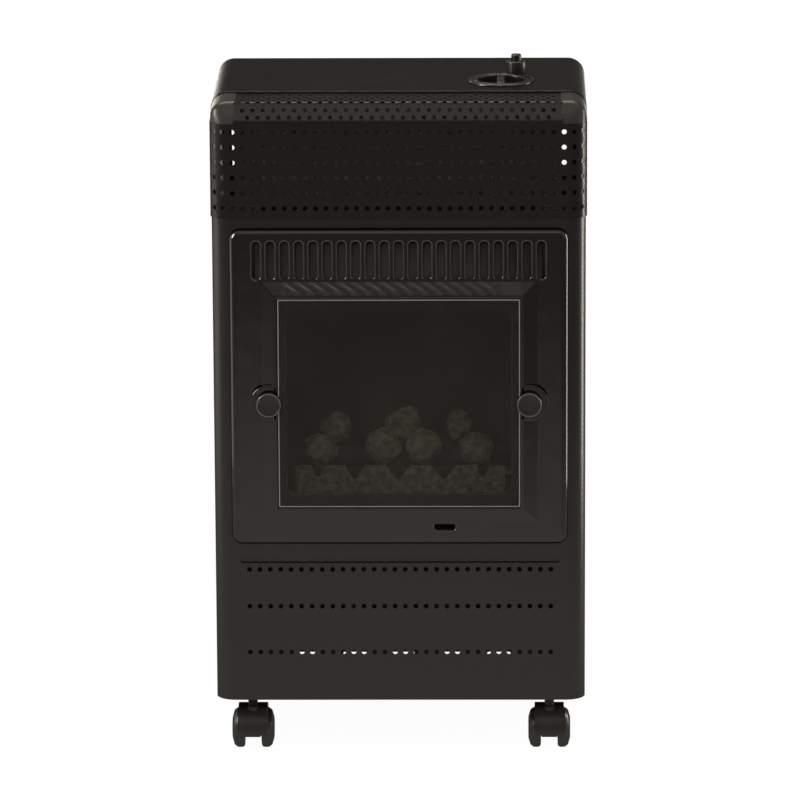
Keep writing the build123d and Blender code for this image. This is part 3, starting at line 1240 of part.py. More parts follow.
# ------------------------------------------------------------------ export
def pieces():
    """Every node and its shape."""
    shapes = {
        "cabinet_wrap": cabinet_wrap(),
        "base_plate": base_plate(),
        "top_grille": top_grille(),
        "corner_cap_left": corner_cap_left(),
        "corner_cap_right": mirrored(corner_cap_left()),
        "top_deck": top_deck(),
        "deck_baffle": deck_baffle(),
        "window_fascia": window_fascia(),
        "window_glass": window_glass(),
        "glass_gasket": glass_gasket(),
        "glass_knob_left": glass_knob(-GLASS_KNOB_X),
        "glass_knob_right": glass_knob(GLASS_KNOB_X),
        "glass_knob_studs": glass_knob_studs(),
        "fascia_screws": fascia_screws(),
        "firebox_liner": firebox_liner(),
        "firebox_floor": firebox_floor(),
        "coal_fender": coal_fender(),
        "coal_bed": coal_bed(),
        "coals_front": coals_front(),
        "coals_rear": coals_rear(),
        "burner_tube": burner_tube(),
        "burner_brackets": burner_brackets(),
        "pilot_bracket": pilot_bracket(),
        "pilot_burner": pilot_burner(),
        "spark_electrode": spark_electrode(),
        "thermocouple": thermocouple(),
        "gas_valve_body": gas_valve_body(),
        "valve_bracket": valve_bracket(),
        "valve_spindle": valve_spindle(),
        "control_knob": control_knob(),
        "control_bezel": control_bezel(),
        "igniter_body": igniter_body(),
        "igniter_collar": igniter_collar(),
        "igniter_button": igniter_button(),
        "burner_pipe": burner_pipe(),
        "pilot_pipe": pilot_pipe(),
        "inlet_pipe": inlet_pipe(),
        "hose_nozzle": hose_nozzle(),
        "rear_shield": rear_shield(),
        "cover_channels": cover_channels(),
        "rear_cover": rear_cover(),
        "castor_stems": castor_stems(),
        "castor_nuts": castor_nuts(),
    }
    names = ("front_left", "front_right", "rear_left", "rear_right")
    for name, (x, y) in zip(names, castor_places()):
        shapes[f"castor_hood_{name}"] = castor_hood(x, y)
        shapes[f"castor_axle_{name}"] = castor_axle(x, y)
        shapes[f"castor_{name}_wheel_left"] = castor_wheel(x, y, -1)
        shapes[f"castor_{name}_wheel_right"] = castor_wheel(x, y, 1)
    return shapes


os.makedirs("parts", exist_ok=True)
for node, shape in pieces().items():
    export_step(shape, f"parts/{node}.step")
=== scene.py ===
# %% [markdown]
# # A portable gas cabinet heater
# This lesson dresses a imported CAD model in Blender. The heater is a black steel cabinet on four
# castors: an enamelled surround holds a window over ceramic coals, a perforated grille lets the
# warm air out at the top, and the deck carries the gas control and the igniter. The CAD model is
# the frame. It fixes where each part is and how it moves, and this script gives the parts their
# finish and their fine shapes.

# %% Load the frame
import math

import bmesh
import bpy
from mathutils import Matrix, Vector, noise
from mathutils.geometry import delaunay_2d_cdt


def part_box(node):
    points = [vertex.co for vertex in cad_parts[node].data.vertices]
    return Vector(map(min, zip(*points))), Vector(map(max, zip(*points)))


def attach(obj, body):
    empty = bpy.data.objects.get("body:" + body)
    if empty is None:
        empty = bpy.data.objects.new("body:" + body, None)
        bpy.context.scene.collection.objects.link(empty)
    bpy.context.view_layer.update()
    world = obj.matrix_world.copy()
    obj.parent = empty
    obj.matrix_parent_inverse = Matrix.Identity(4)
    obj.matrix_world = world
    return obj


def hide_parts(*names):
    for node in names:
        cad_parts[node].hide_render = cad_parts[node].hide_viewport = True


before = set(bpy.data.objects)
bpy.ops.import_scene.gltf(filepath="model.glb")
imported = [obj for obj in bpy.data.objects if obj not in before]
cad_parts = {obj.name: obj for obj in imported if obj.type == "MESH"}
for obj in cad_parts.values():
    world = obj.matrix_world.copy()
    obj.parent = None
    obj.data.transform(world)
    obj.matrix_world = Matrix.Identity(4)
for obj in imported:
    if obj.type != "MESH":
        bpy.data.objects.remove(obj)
scene = bpy.context.scene
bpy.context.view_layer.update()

# %% [markdown]
# ## Places
# Drawings of sheet metal are in millimetres, and Blender works in metres. The pieces below are
# therefore written in millimetres and scaled once, where a mesh is made. Depths are measured back
# from the front sheet, as they are on the drawing.

# %% Millimetres and depths
MM = 0.001
FRONT_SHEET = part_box("cabinet_wrap")[0].y / MM
FACE = FRONT_SHEET - 9.0  # the flat face of the surround
CREST = FACE - 8.0  # the crest of the moulding round the window
DECK_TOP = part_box("top_deck")[1].z / MM
WINDOW = 417.6  # height of the middle of the window
BODY_HALF = 210.0  # from the middle of the cabinet to its side
BODY_CORNER = 22.0  # radius of its front corners


def at(depth):
    """Place along Y, in millimetres, of a depth behind the front sheet."""
    return FRONT_SHEET + depth


print("front sheet", round(FRONT_SHEET, 2), "deck", round(DECK_TOP, 2))

# %% [markdown]
# ## The camera
# The picture was taken from far away, a little to the right and 14 degrees above. Seven metres
# with a long lens gives the same gentle depth. A quarter of a degree of roll makes the uprights
# lean as they do there.

# %% Camera
CAMERA_DISTANCE = 7.0
CAMERA_LENS = 279.69
camera_turn, camera_height, camera_roll = [math.radians(angle) for angle in (0.9, 13.78, -0.28)]
camera_target = Vector((0.82, FRONT_SHEET, 417.83)) * MM
outward = Vector((
    math.sin(camera_turn) * math.cos(camera_height),
    -math.cos(camera_turn) * math.cos(camera_height),
    math.sin(camera_height),
))
camera = bpy.data.objects.new("camera", bpy.data.cameras.new("camera"))
scene.collection.objects.link(camera)
place = Matrix.Translation(camera_target + outward * CAMERA_DISTANCE)
heading = outward.to_track_quat("Z", "Y").to_matrix().to_4x4()
camera.matrix_world = place @ heading @ Matrix.Rotation(camera_roll, 4, "Z")
camera.data.lens = CAMERA_LENS
camera.data.sensor_width = 36.0
camera.data.clip_end = 100.0
scene.camera = camera
print("camera at", [round(v, 3) for v in camera.matrix_world.translation])

# %% [markdown]
# ## Arithmetic on shader sockets
# A material is a graph, and a graph is hard to read as a list of links. One small class wraps an
# output socket and overloads the usual operators, so that `1 - mask * 0.5` builds its own Math
# nodes. Everything else goes through one method that takes the kind of node, its settings and the
# values of its sockets.


# %% Signals
class Signal:
    """An output of a node, on which plain arithmetic works."""

    def __init__(self, finish, socket):
        self.finish = finish
        self.socket = socket

    def math(self, operation, *others):
        """A Math node whose first value is this signal."""
        values = dict(enumerate((self, *others)))
        return self.finish.node("ShaderNodeMath", {"operation": operation}, values)

    def __add__(self, other):
        return self.math("ADD", other)

    def __sub__(self, other):
        return self.math("SUBTRACT", other)

    def __rsub__(self, other):
        return self.math("MULTIPLY_ADD", -1.0, other)

    def __mul__(self, other):
        return self.math("MULTIPLY", other)

    __radd__ = __add__
    __rmul__ = __mul__


def tint(red, green, blue):
    return (red, green, blue, 1.0)


def dimmed(colour, share):
    return tint(*[share * value for value in colour[:3]])


print("signals ready")

# %% [markdown]
# A finish is the graph of one material, or of the world. Its methods are the few things that every
# finish of this heater is made of: noise, a mask with soft ends, a mix of two colours, relief, and
# two ways to end the graph. A sprayed or moulded coat mirrors its surroundings only faintly, and
# strongly when it is seen almost along its surface. That is what draws the pale outlines of a black
# cabinet, and one Mix Shader between a matt and a glossy shader does it.

# %% Finishes
MIRROR = tint(1, 0.93, 0.85)
MIRROR_AT_RIM = 0.6
RIM_SHARPNESS = 20.0


class Finish:
    """A material under construction, or another owner of a graph."""

    def __init__(self, name, owner=None, place="Object"):
        self.owner = owner or bpy.data.materials.new(name)
        self.owner.use_nodes = True
        self.tree = self.owner.node_tree
        self.tree.nodes.clear()
        self.place = self.node("ShaderNodeTexCoord", output=place)

    def node(self, kind, settings=None, inputs=None, output=0):
        made = self.tree.nodes.new(kind)
        for name, value in (settings or {}).items():
            setattr(made, name, value)
        for name, value in (inputs or {}).items():
            if isinstance(value, Signal):
                self.tree.links.new(value.socket, made.inputs[name])
            else:
                made.inputs[name].default_value = value
        return Signal(self, made.outputs[output]) if made.outputs else None

    def along(self, *axes):
        """Places along axes, which are numbered 0 to 2."""
        return [self.node("ShaderNodeSeparateXYZ", None, {0: self.place}, axis) for axis in axes]

    def rays(self):
        """Whether a ray is mirrored, and whether the camera sees what it finds by any path."""
        kinds = ("Is Camera Ray", "Is Glossy Ray", "Is Transmission Ray")
        seen, mirrored, passed = [self.node("ShaderNodeLightPath", output=kind) for kind in kinds]
        return mirrored, seen.math("MAXIMUM", mirrored).math("MAXIMUM", passed)

    def grain(self, scale, detail=3.0, roughness=0.6, stretch=(1, 1, 1)):
        """Noise between 0 and 1; scale is in features per metre."""
        place = self.place
        if stretch != (1, 1, 1):
            place = self.node("ShaderNodeMapping", None, {"Vector": place, "Scale": stretch})
        sizes = {"Vector": place, "Scale": scale, "Detail": detail, "Roughness": roughness}
        return self.node("ShaderNodeTexNoise", None, sizes)

    def cells(self, scale):
        """Distance from scattered points, nought at each of them."""
        return self.node("ShaderNodeTexVoronoi", None, {"Vector": self.place, "Scale": scale})

    def between(self, value, low, high):
        """Nought below low, one above high, smooth between."""
        sizes = {"Value": value, "From Min": low, "From Max": high}
        return self.node("ShaderNodeMapRange", {"interpolation_type": "SMOOTHSTEP"}, sizes)

    def mix(self, factor, first, second):
        """One colour turning into another."""
        colours = {0: factor, 6: first, 7: second}
        return self.node("ShaderNodeMix", {"data_type": "RGBA"}, colours, output=2)

    def facing_up(self):
        """One on surfaces that face up, where dust settles and where the coals are painted lit."""
        normal = self.node("ShaderNodeNewGeometry", output="Normal")
        return self.between(self.node("ShaderNodeSeparateXYZ", None, {0: normal}, 2), 0.75, 1.0)

    def bump(self, height, depth):
        """Relief of a depth in metres."""
        return self.node("ShaderNodeBump", None, {"Height": height, "Distance": depth})

    def paint(self, specular=0.5, **sockets):
        """Ends the graph in one Principled shader, its sockets named with underscores."""
        named = {name.replace("_", " "): value for name, value in sockets.items()}
        named["Specular IOR Level"] = specular
        return self.end(self.node("ShaderNodeBsdfPrincipled", None, named))

    def two_tone(self, mask, dark, light, rough, spread, relief, specular=0.5):
        """Ends the graph with a colour and a roughness that both follow one mask."""
        colour = self.mix(mask, tint(*dark), tint(*light))
        roughness = mask * spread + rough
        return self.paint(specular, Base_Color=colour, Roughness=roughness, Normal=relief)

    def coat(self, colour, roughness, relief, gloss):
        """Ends the graph in a coat whose gloss is the share that it mirrors, seen squarely."""
        facing = self.node("ShaderNodeLayerWeight", None, {"Blend": 0.5}, "Facing")
        share = facing.math("POWER", RIM_SHARPNESS) * MIRROR_AT_RIM + gloss
        surface = {"Roughness": roughness, "Normal": relief}
        sockets = {"Base Color": colour, "Specular IOR Level": 0.0, **surface}
        matt = self.node("ShaderNodeBsdfPrincipled", None, sockets)
        mirror = self.node("ShaderNodeBsdfGlossy", None, {"Color": MIRROR, **surface})
        return self.end(self.node("ShaderNodeMixShader", None, {0: share, 1: matt, 2: mirror}))

    def end(self, shader):
        self.node("ShaderNodeOutputMaterial", None, {"Surface": shader})
        return self.owner


finishes = {}
print("finish helpers ready")

# %% [markdown]
# ## Light and floor
# Black paint shows hardly any colour of its own. What the eye reads is the room in it, so the room
# is white, and a long soft box at each side and one above draw the bright lines along its edges.
# Light that is scattered is kept lower than the white that is seen, so a colour renders about as it
# is written. Only the part of the room behind the camera is dim, as a studio is, and that is what
# the upper front mirrors. The backdrop is a little dimmer in the deck than to the eye, which stands
# for the falloff along its foot.

# %% The room
ROOM = 0.50  # what scattered light finds, where 1 is the white that is seen
STUDIO_DIMMED, STUDIO_TURN, STUDIO_RISE = 0.7, (-0.8, -0.2), (0.45, 0.95)
BACKDROP_DIMMED, BACKDROP_TURN, BACKDROP_RISE = 0.25, (0.3, 0.8), (0.3, 0.6)
world = bpy.data.worlds.new("studio")
scene.world = world
room = Finish("studio", world, "Generated")
ahead, up = room.along(1, 2)
mirrored, looked_at = room.rays()
behind_camera = 1 - room.between(ahead, *STUDIO_TURN)
studio = behind_camera * (1 - room.between(up, *STUDIO_RISE)) * mirrored
behind_heater = room.between(ahead, *BACKDROP_TURN)
backdrop = behind_heater * (1 - room.between(up, *BACKDROP_RISE)) * mirrored
strength = looked_at * (1 - ROOM) + ROOM - studio * STUDIO_DIMMED - backdrop * BACKDROP_DIMMED
sockets = {"Color": tint(1, 1, 1), "Strength": strength}
background = room.node("ShaderNodeBackground", None, sockets)
room.node("ShaderNodeOutputWorld", None, {"Surface": background})
scene.view_settings.view_transform = "Standard"
print("room level", ROOM)

# %% [markdown]
# The lamps are plain rectangles. A tall one stands beside and behind each side, and a long one
# hangs behind the top, so rounded edges catch them as lines close to the outline. One far back on
# the left glances off the shoulder of the deck, one in front on the left makes the white spot on
# the left cap, and a wide one high in front pales the slanted band. These are only seen in mirrors.
# One large lamp in front lights the rest and is never seen itself.


# %% Soft boxes
def soft_box(name, place, aim, size, power, scatters=False):
    """A rectangular lamp at place that faces aim; only one that scatters lights matt surfaces."""
    lamp = bpy.data.lights.new(name, "AREA")
    lamp.shape = "RECTANGLE"
    lamp.size, lamp.size_y = size
    lamp.energy = power
    box = bpy.data.objects.new(name, lamp)
    scene.collection.objects.link(box)
    box.visible_diffuse = scatters
    box.visible_glossy = not scatters
    away = (Vector(place) - Vector(aim)).to_track_quat("Z", "Y").to_matrix().to_4x4()
    box.matrix_world = Matrix.Translation(place) @ away


soft_box("left_box", (-1.40, 0.15, 0.50), (-0.2, -0.2, 0.45), (1.10, 1.1), 8)
soft_box("right_box", (1.29, 0.30, 0.50), (0.2, -0.2, 0.45), (0.26, 1.1), 26)
soft_box("top_box", (-0.1, 0.80, 2.25), (0, -0.2, 0.75), (1.4, 0.20), 40)
soft_box("cap_box", (-1.375, -0.576, 1.16), (-0.2, -0.2, 0.74), (0.45, 0.70), 38)
soft_box("high_box", (0, -1.63, 2.58), (0, -0.2, 0.75), (1.6, 0.35), 2.2)
soft_box("back_box", (-0.75, 1.1, 1.0), (-0.2, 0, 0.76), (0.3, 0.6), 9)
soft_box("front_box", (-0.6, -3.0, 2.2), (0, 0, 0.4), (1.0, 0.8), 24, scatters=True)
print("lamps", len(bpy.data.lights))

# %% [markdown]
# The floor is a sheet of white studio paper. Seen by the camera or in a mirror it is white as the
# room, with enough of its own shading left to hold the soft shadow under the heater. In front, the
# paper ends in the dim part of the studio, sooner towards the sides. A mirror sees it fade there,
# and so the surround is darker towards its top and on the right slope of its moulding.

# %% Floor
QUARTERS = ((1, 1), (-1, 1), (-1, -1), (1, -1))
PAPER_REACH = 30.0
PAPER_GLOW = 1.12
PAPER_FADE = 0.86
FADE_END, FADE_START = -3.1, -0.9  # places ahead, for a mirror
SOONER_RIGHT, SOONER_LEFT = 0.9, 0.5
GLOW_SHARE = 0.86  # the rest is lit by the lamps and takes the shadow
paper_mesh = bpy.data.meshes.new("studio_floor")
corners = [(x * PAPER_REACH, y * PAPER_REACH, 0) for x, y in QUARTERS]
paper_mesh.from_pydata(corners, [], [(0, 1, 2, 3)])
floor = bpy.data.objects.new("studio_floor", paper_mesh)
scene.collection.objects.link(floor)
paper = Finish("studio_paper")
lit = paper.node("ShaderNodeBsdfDiffuse", None, {"Color": tint(0.86, 0.86, 0.86)})
across, ahead = paper.along(0, 1)
to_the_right = (across + 0.05).math("MAXIMUM", 0.0)
to_the_left = (across * -1 - 0.2).math("MAXIMUM", 0.0)
ahead = ahead - to_the_right * SOONER_RIGHT - to_the_left * SOONER_LEFT
near = paper.between(ahead, FADE_END, FADE_START)
mirrored, looked_at = paper.rays()
sockets = {"Color": tint(1, 1, 1), "Strength": PAPER_GLOW - mirrored * (1 - near) * PAPER_FADE}
own = paper.node("ShaderNodeEmission", None, sockets)
sheet = paper.node("ShaderNodeMixShader", None, {0: looked_at * GLOW_SHARE, 1: lit, 2: own})
paper_mesh.materials.append(paper.end(sheet))
print("floor", 2 * PAPER_REACH, "m wide")

# %% [markdown]
# ## Satin stove paint
# The cabinet is sprayed with heat-proof paint, which dries satin with a fine orange peel. A flat
# colour would look like a hole in the picture. The paint here is a warm black whose patches differ
# a little, with dust where a surface faces up, and a bump of ripples two millimetres wide breaks
# the reflections.

# %% Stove paint
WARM_BLACK = tint(0.0078, 0.0064, 0.0052)
DUST = tint(0.034, 0.031, 0.028)


def stove_paint(name, satin, peel, gloss):
    """Sprayed paint: satin is its roughness, peel the depth of its orange peel."""
    paint = Finish(name)
    patches = paint.grain(7.0)
    specks = paint.between(paint.grain(420.0, 2.0, 0.7), 0.56, 0.80)
    dust = specks * (0.08 + paint.facing_up() * 0.04)
    colour = paint.mix(patches, dimmed(WARM_BLACK, 0.85), dimmed(WARM_BLACK, 1.15))
    rough = patches * 0.10 + dust * 0.4 + (satin - 0.05)
    relief = paint.bump(paint.grain(520.0, 2.0, 0.5), peel)
    return paint.coat(paint.mix(dust, colour, DUST), rough, relief, gloss)


finishes["body_paint"] = stove_paint("satin_stove_paint", 0.30, 0.00004, 0.028)
finishes["deck_paint"] = stove_paint("deck_stove_paint", 0.26, 0.00003, 0.012)
finishes["grille_paint"] = stove_paint("grille_stove_paint", 0.26, 0.00003, 0.021)
print("paints", list(finishes))

# %% [markdown]
# ## Vitreous enamel
# The surround is pressed steel dipped in black enamel and fired. It is nearly a mirror, but it
# pulls into long shallow waves as it melts, and those waves make its highlights wander. They are
# far wider than the orange peel of a paint, so their noise is coarse and their bump is weak.

# %% Enamel
ENAMEL_GLOSS = 0.033
enamel = Finish("black_enamel")
waves = enamel.grain(38.0, 1.0, 0.4)
pinholes = enamel.between(enamel.cells(300.0), 0.0, 0.06)
fired = enamel.mix(enamel.grain(11.0), tint(0.0034, 0.0028, 0.0020), tint(0.0052, 0.0044, 0.0034))
print("enamel gloss", ENAMEL_GLOSS)

# %% [markdown]
# The upper slope of the moulding looks striped. It has shallow slanting flutes under the enamel,
# and on their backs a paler grey is painted in as a painted reflection, with a plain paler patch
# past the last flute on the right. The colour follows the same wave as the relief that is given to
# the mesh further down: one flute for each slot, leaning to the left towards its top.

# %% Flutes and painted reflection in the colour
SLOT_PITCH = 15.97
MOULDING_SIZE = (310.0, 278.0)
SLOPE = 14.5  # from the foot of the moulding to its crest, seen from the front
SLOPE_FOOT = WINDOW + MOULDING_SIZE[1] / 2
FLUTE_LEAN, FLUTE_SHIFT = 17.0, 3.0
FLUTES_LEFT, FLUTES_RIGHT = -134.0, 112.0
sideways, height = [axis * (1 / MM) for axis in enamel.along(0, 2)]
down = 1 - enamel.between(height, SLOPE_FOOT - SLOPE, SLOPE_FOOT)
wave = (sideways - down * FLUTE_LEAN + FLUTE_SHIFT) * (2 * math.pi / SLOT_PITCH)
backs = enamel.between(wave.math("COSINE"), -0.5, 0.5)
from_left = enamel.between(sideways, FLUTES_LEFT, FLUTES_LEFT + 6.0)
to_right = 1 - enamel.between(sideways, FLUTES_RIGHT - 6.0, FLUTES_RIGHT)
past_flutes = enamel.between(sideways, FLUTES_RIGHT, FLUTES_RIGHT + 6.0)
to_corner = 1 - enamel.between(sideways, 134.0, 140.0)
above_crest = enamel.between(height, SLOPE_FOOT - 15.6, SLOPE_FOOT - 13.6)
on_slope = above_crest * (1 - enamel.between(height, SLOPE_FOOT - 1.1, SLOPE_FOOT))
# the backs of the flutes, and a patch past them on the right, are painted paler as a painted
# reflection
slope_reflection = (backs * from_left * to_right + past_flutes * to_corner * 0.8) * on_slope
finishes["enamel"] = enamel.coat(
    enamel.mix(slope_reflection, fired, tint(0.0200, 0.0182, 0.0150)),
    enamel.grain(60.0) * 0.06 + 0.05,
    enamel.bump(waves * 0.9 + pinholes * 0.02, 0.00030),
    ENAMEL_GLOSS,
)
print("slope from", SLOPE_FOOT - SLOPE, "to", SLOPE_FOOT)

# %% [markdown]
# Molten enamel draws back from a cut edge. Round each slot it is thin and greyish, and that pale
# grey is also a painted highlight along the lips; it outlines the slot.

# %% Thin enamel and painted highlight at the slots
drawn = Finish("lip_highlight_enamel")
lip_grain = drawn.grain(220.0)
# pale grey lips: thin enamel and a painted highlight of the rounded lip
finishes["lip_highlight_enamel"] = drawn.coat(
    drawn.mix(lip_grain, tint(0.030, 0.027, 0.022), tint(0.056, 0.051, 0.043)),
    lip_grain * 0.1 + 0.08,
    drawn.bump(lip_grain, 0.00004),
    ENAMEL_GLOSS,
)
print("enamels", "enamel" in finishes, "lip_highlight_enamel" in finishes)

# %% [markdown]
# ## Mouldings
# Caps, knobs and castors are injection moulded. Their moulds are spark eroded, which leaves an even
# grain of pits half a millimetre wide. The depth of the grain differs from part to part, and so
# does the shine.

# %% Moulded plastics
PITS_A_METRE = 1900.0


def moulded(name, base, shine, pits, gloss):
    """Black plastic from a grained mould."""
    plastic = Finish(name)
    grain = plastic.grain(PITS_A_METRE, 2.0)
    rubbed = plastic.between(plastic.grain(26.0, 4.0), 0.45, 0.7)
    colour = plastic.mix(rubbed, dimmed(tint(*base), 0.85), dimmed(tint(*base), 1.2))
    rough = grain * 0.12 + rubbed * -0.05 + shine
    return plastic.coat(colour, rough, plastic.bump(grain, pits), gloss)


for slot, name, base, shine, pits, gloss in (
    ("cap_plastic", "cap_moulding", (0.0400, 0.0330, 0.0290), 0.30, 0.00002, 0.020),
    ("control_plastic", "control_moulding", (0.0150, 0.0125, 0.0105), 0.18, 0.00001, 0.032),
    ("castor_plastic", "castor_hood_moulding", (0.0300, 0.0262, 0.0220), 0.30, 0.00003, 0.014),
    ("wheel_plastic", "castor_wheel_moulding", (0.0280, 0.0240, 0.0195), 0.22, 0.00004, 0.024),
):
    finishes[slot] = moulded(name, base, shine, pits, gloss)
print("finishes so far", len(finishes))

# %% [markdown]
# The two knobs on the glass have a pale ring along the rim: paint worn off where cloths and fingers
# pass, and a painted highlight of the rim as well. The ring is found by its distance from the axis
# of the knob, since both knobs stand at the same height. A little of the grain is added to that
# distance, so the ring has a ragged edge.

# %% Knobs with a worn rim and a painted highlight
KNOB_X = 146.4
worn = Finish("knob_moulding")
sideways, height = [axis * (1 / MM) for axis in worn.along(0, 2)]
off_axis = sideways.math("ABSOLUTE") - KNOB_X
above = height - WINDOW
pits = worn.grain(PITS_A_METRE, 2.0)
radius = (off_axis * off_axis + above * above).math("SQRT") + pits * 0.6
# the pale ring is worn paint and also the painted highlight of the rim
worn_and_lit_ring = worn.between(radius, 12.6, 13.1) * (1 - worn.between(radius, 13.9, 14.3))
black = worn.mix(pits, tint(0.0095, 0.0078, 0.0064), tint(0.0135, 0.0110, 0.0090))
finishes["knob_black"] = worn.coat(
    worn.mix(worn_and_lit_ring, black, tint(0.110, 0.102, 0.088)),
    pits * 0.12 + 0.14,
    worn.bump(pits, 0.00001),
    0.028,
)
print("worn ring at", KNOB_X, WINDOW)

# %% [markdown]
# ## Metals and ceramics inside
# The firebox is bare steel that heat has stained, the coals are pale fibre blackened with soot, and
# the small parts are zinc plated or brass. The shield behind the grille is galvanised, and is what
# makes the holes of the grille a little paler than its paint. Little of the rest is seen, but all
# of it is there. Where a colour and a roughness follow the same stains, one method ends the graph
# with both.


# %% Metals
def plated(name, base, shine, scratch):
    """Metal with fine scratches along X and stains."""
    metal = Finish(name)
    scratches = metal.grain(900.0, 2.0, stretch=(0.04, 1, 1))
    stains = metal.between(metal.grain(45.0, 5.0), 0.42, 0.68)
    return metal.paint(
        Base_Color=metal.mix(stains, dimmed(tint(*base), 0.62), tint(*base)),
        Roughness=scratches * 0.18 + stains * -0.1 + shine,
        Normal=metal.bump(scratches, scratch),
        Metallic=1 - stains * 0.1,
    )


for slot, name, base, shine, scratch in (
    ("bright_steel", "zinc_plate", (0.55, 0.55, 0.53), 0.32, 0.00001),
    ("black_steel", "blackened_steel", (0.020, 0.018, 0.016), 0.42, 0.00001),
    ("brass", "dull_brass", (0.60, 0.43, 0.18), 0.34, 0.00001),
    ("cast_alloy", "die_cast_alloy", (0.42, 0.42, 0.41), 0.48, 0.00008),
):
    finishes[slot] = plated(name, base, shine, scratch)
zinc = Finish("galvanised_sheet")
flakes = zinc.between(zinc.cells(160.0), 0.1, 0.7)
finishes["galvanised"] = zinc.two_tone(
    flakes, (0.20, 0.19, 0.165), (0.30, 0.29, 0.26), 0.5, 0.15, zinc.bump(flakes, 0.00002), 0.3
)
plate = Finish("deflector_sheet")
haze = plate.grain(40.0, 4.0)
finishes["deflector_steel"] = plate.two_tone(
    haze, (0.026, 0.023, 0.019), (0.050, 0.045, 0.038), 0.6, 0.2, plate.bump(haze, 0.00003), 0.0
)
stained = Finish("heat_stained_steel")
bloom = stained.between(stained.grain(18.0, 5.0), 0.35, 0.7)
scale = stained.bump(stained.grain(300.0), 0.00005)
finishes["plain_steel"] = stained.two_tone(
    bloom, (0.010, 0.009, 0.008), (0.030, 0.024, 0.019), 0.5, 0.2, scale, 0.2
)
print("finishes so far", len(finishes))

# %% [markdown]
# The coals take their soot in soft patches, and the faces that look up are painted paler, as
# painted light from above. Their fibre shows as a coarse relief. The bed under them is darker and
# finer, and the rope that seals the glass is a slanting wave, which is how a twisted rope looks
# from its side.

# %% Ceramics and rope
soot = Finish("sooty_ceramic")
fibres = soot.grain(650.0, 4.0, 0.7)
# faces that look up move towards the pale colour: painted light from above
patches_and_lit_tops = soot.grain(120.0, 5.0, 0.7) + soot.facing_up() * 0.12
soot_and_lit_tops = soot.between(patches_and_lit_tops, 0.36, 0.66)
finishes["ceramic"] = soot.paint(
    specular=0.1,
    Base_Color=soot.mix(soot_and_lit_tops, tint(0.080, 0.071, 0.060), tint(0.200, 0.181, 0.155)),
    Roughness=fibres * 0.1 + 0.85,
    Normal=soot.bump(fibres * 0.6 + soot.grain(140.0) * 0.8, 0.0009),
)
bed = Finish("sooted_bed")
ash = bed.between(bed.grain(60.0, 4.0), 0.35, 0.7)
crumbs = bed.bump(bed.grain(400.0), 0.0004)
finishes["sooted_bed"] = bed.two_tone(
    ash, (0.012, 0.011, 0.010), (0.034, 0.030, 0.026), 0.85, 0.1, crumbs, 0.1
)
glaze = Finish("glazed_insulator")
finishes["white_ceramic"] = glaze.paint(
    Base_Color=glaze.mix(glaze.grain(200.0), tint(0.62, 0.58, 0.50), tint(0.80, 0.77, 0.70)),
    Roughness=glaze.grain(90.0) * 0.15 + 0.15,
    Normal=glaze.bump(glaze.grain(150.0), 0.00005),
)
rope = Finish("rope_seal")
twist = {"Vector": rope.place, "Scale": 95.0, "Distortion": 2.0, "Detail": 2.0}
strands = rope.node("ShaderNodeTexWave", {"bands_direction": "DIAGONAL"}, twist)
finishes["rope_seal"] = rope.two_tone(
    strands, (0.017, 0.015, 0.012), (0.026, 0.023, 0.018), 0.8, 0.1, rope.bump(strands, 0.0002), 0.1
)
print("finishes so far", len(finishes))

# %% [markdown]
# ## Window glass
# The pane is dark tinted ceramic glass. What counts is what it lets through and what it mirrors, so
# the shader mixes a tinted see-through part and a glossy part by the angle at which it is seen. A
# faint greasy film, patchy as a wiped window is, adds a little scattered light. The cut edge of the
# pane is ground, so it is grey and matt, and its pale grey is also a painted highlight line.

# %% Glass
GLASS_IOR = 1.16  # lower than that of glass, because the pane in the picture mirrors little
pane = Finish("window_pane")
through = pane.node("ShaderNodeBsdfTransparent", None, {"Color": tint(0.76, 0.75, 0.69)})
shine = pane.node("ShaderNodeBsdfGlossy", None, {"Color": tint(1, 1, 1), "Roughness": 0.02})
film = pane.node("ShaderNodeBsdfDiffuse", None, {"Color": tint(0.50, 0.47, 0.40)})
wiped = pane.between(pane.grain(9.0, stretch=(1.0, 1, 0.5)), 0.3, 0.75) * 0.008 + 0.014
hazy = pane.node("ShaderNodeMixShader", None, {0: wiped, 1: through, 2: film})
angle = pane.node("ShaderNodeFresnel", None, {"IOR": GLASS_IOR})
finishes["glass"] = pane.end(pane.node("ShaderNodeMixShader", None, {0: angle, 1: hazy, 2: shine}))
edge = Finish("ground_edge_and_highlight")
edge_grain = edge.grain(300.0)
# pale ground glass that also serves as a painted highlight line
finishes["glass_edge"] = edge.two_tone(
    edge_grain, (0.17, 0.165, 0.15), (0.34, 0.33, 0.31), 0.5, 0.2, edge.bump(edge_grain, 0.00002)
)
print("finishes", len(finishes))

# %% [markdown]
# ## Meshes from loops
# Pressed steel and mouldings are sections carried round an outline. So a piece is built here from
# loops of points: a strip joins loops of equal length, and a fill closes a flat outline that may
# have holes. A triangulation that keeps to the given borders is quick, and what it makes inside a
# hole is left out afterwards.


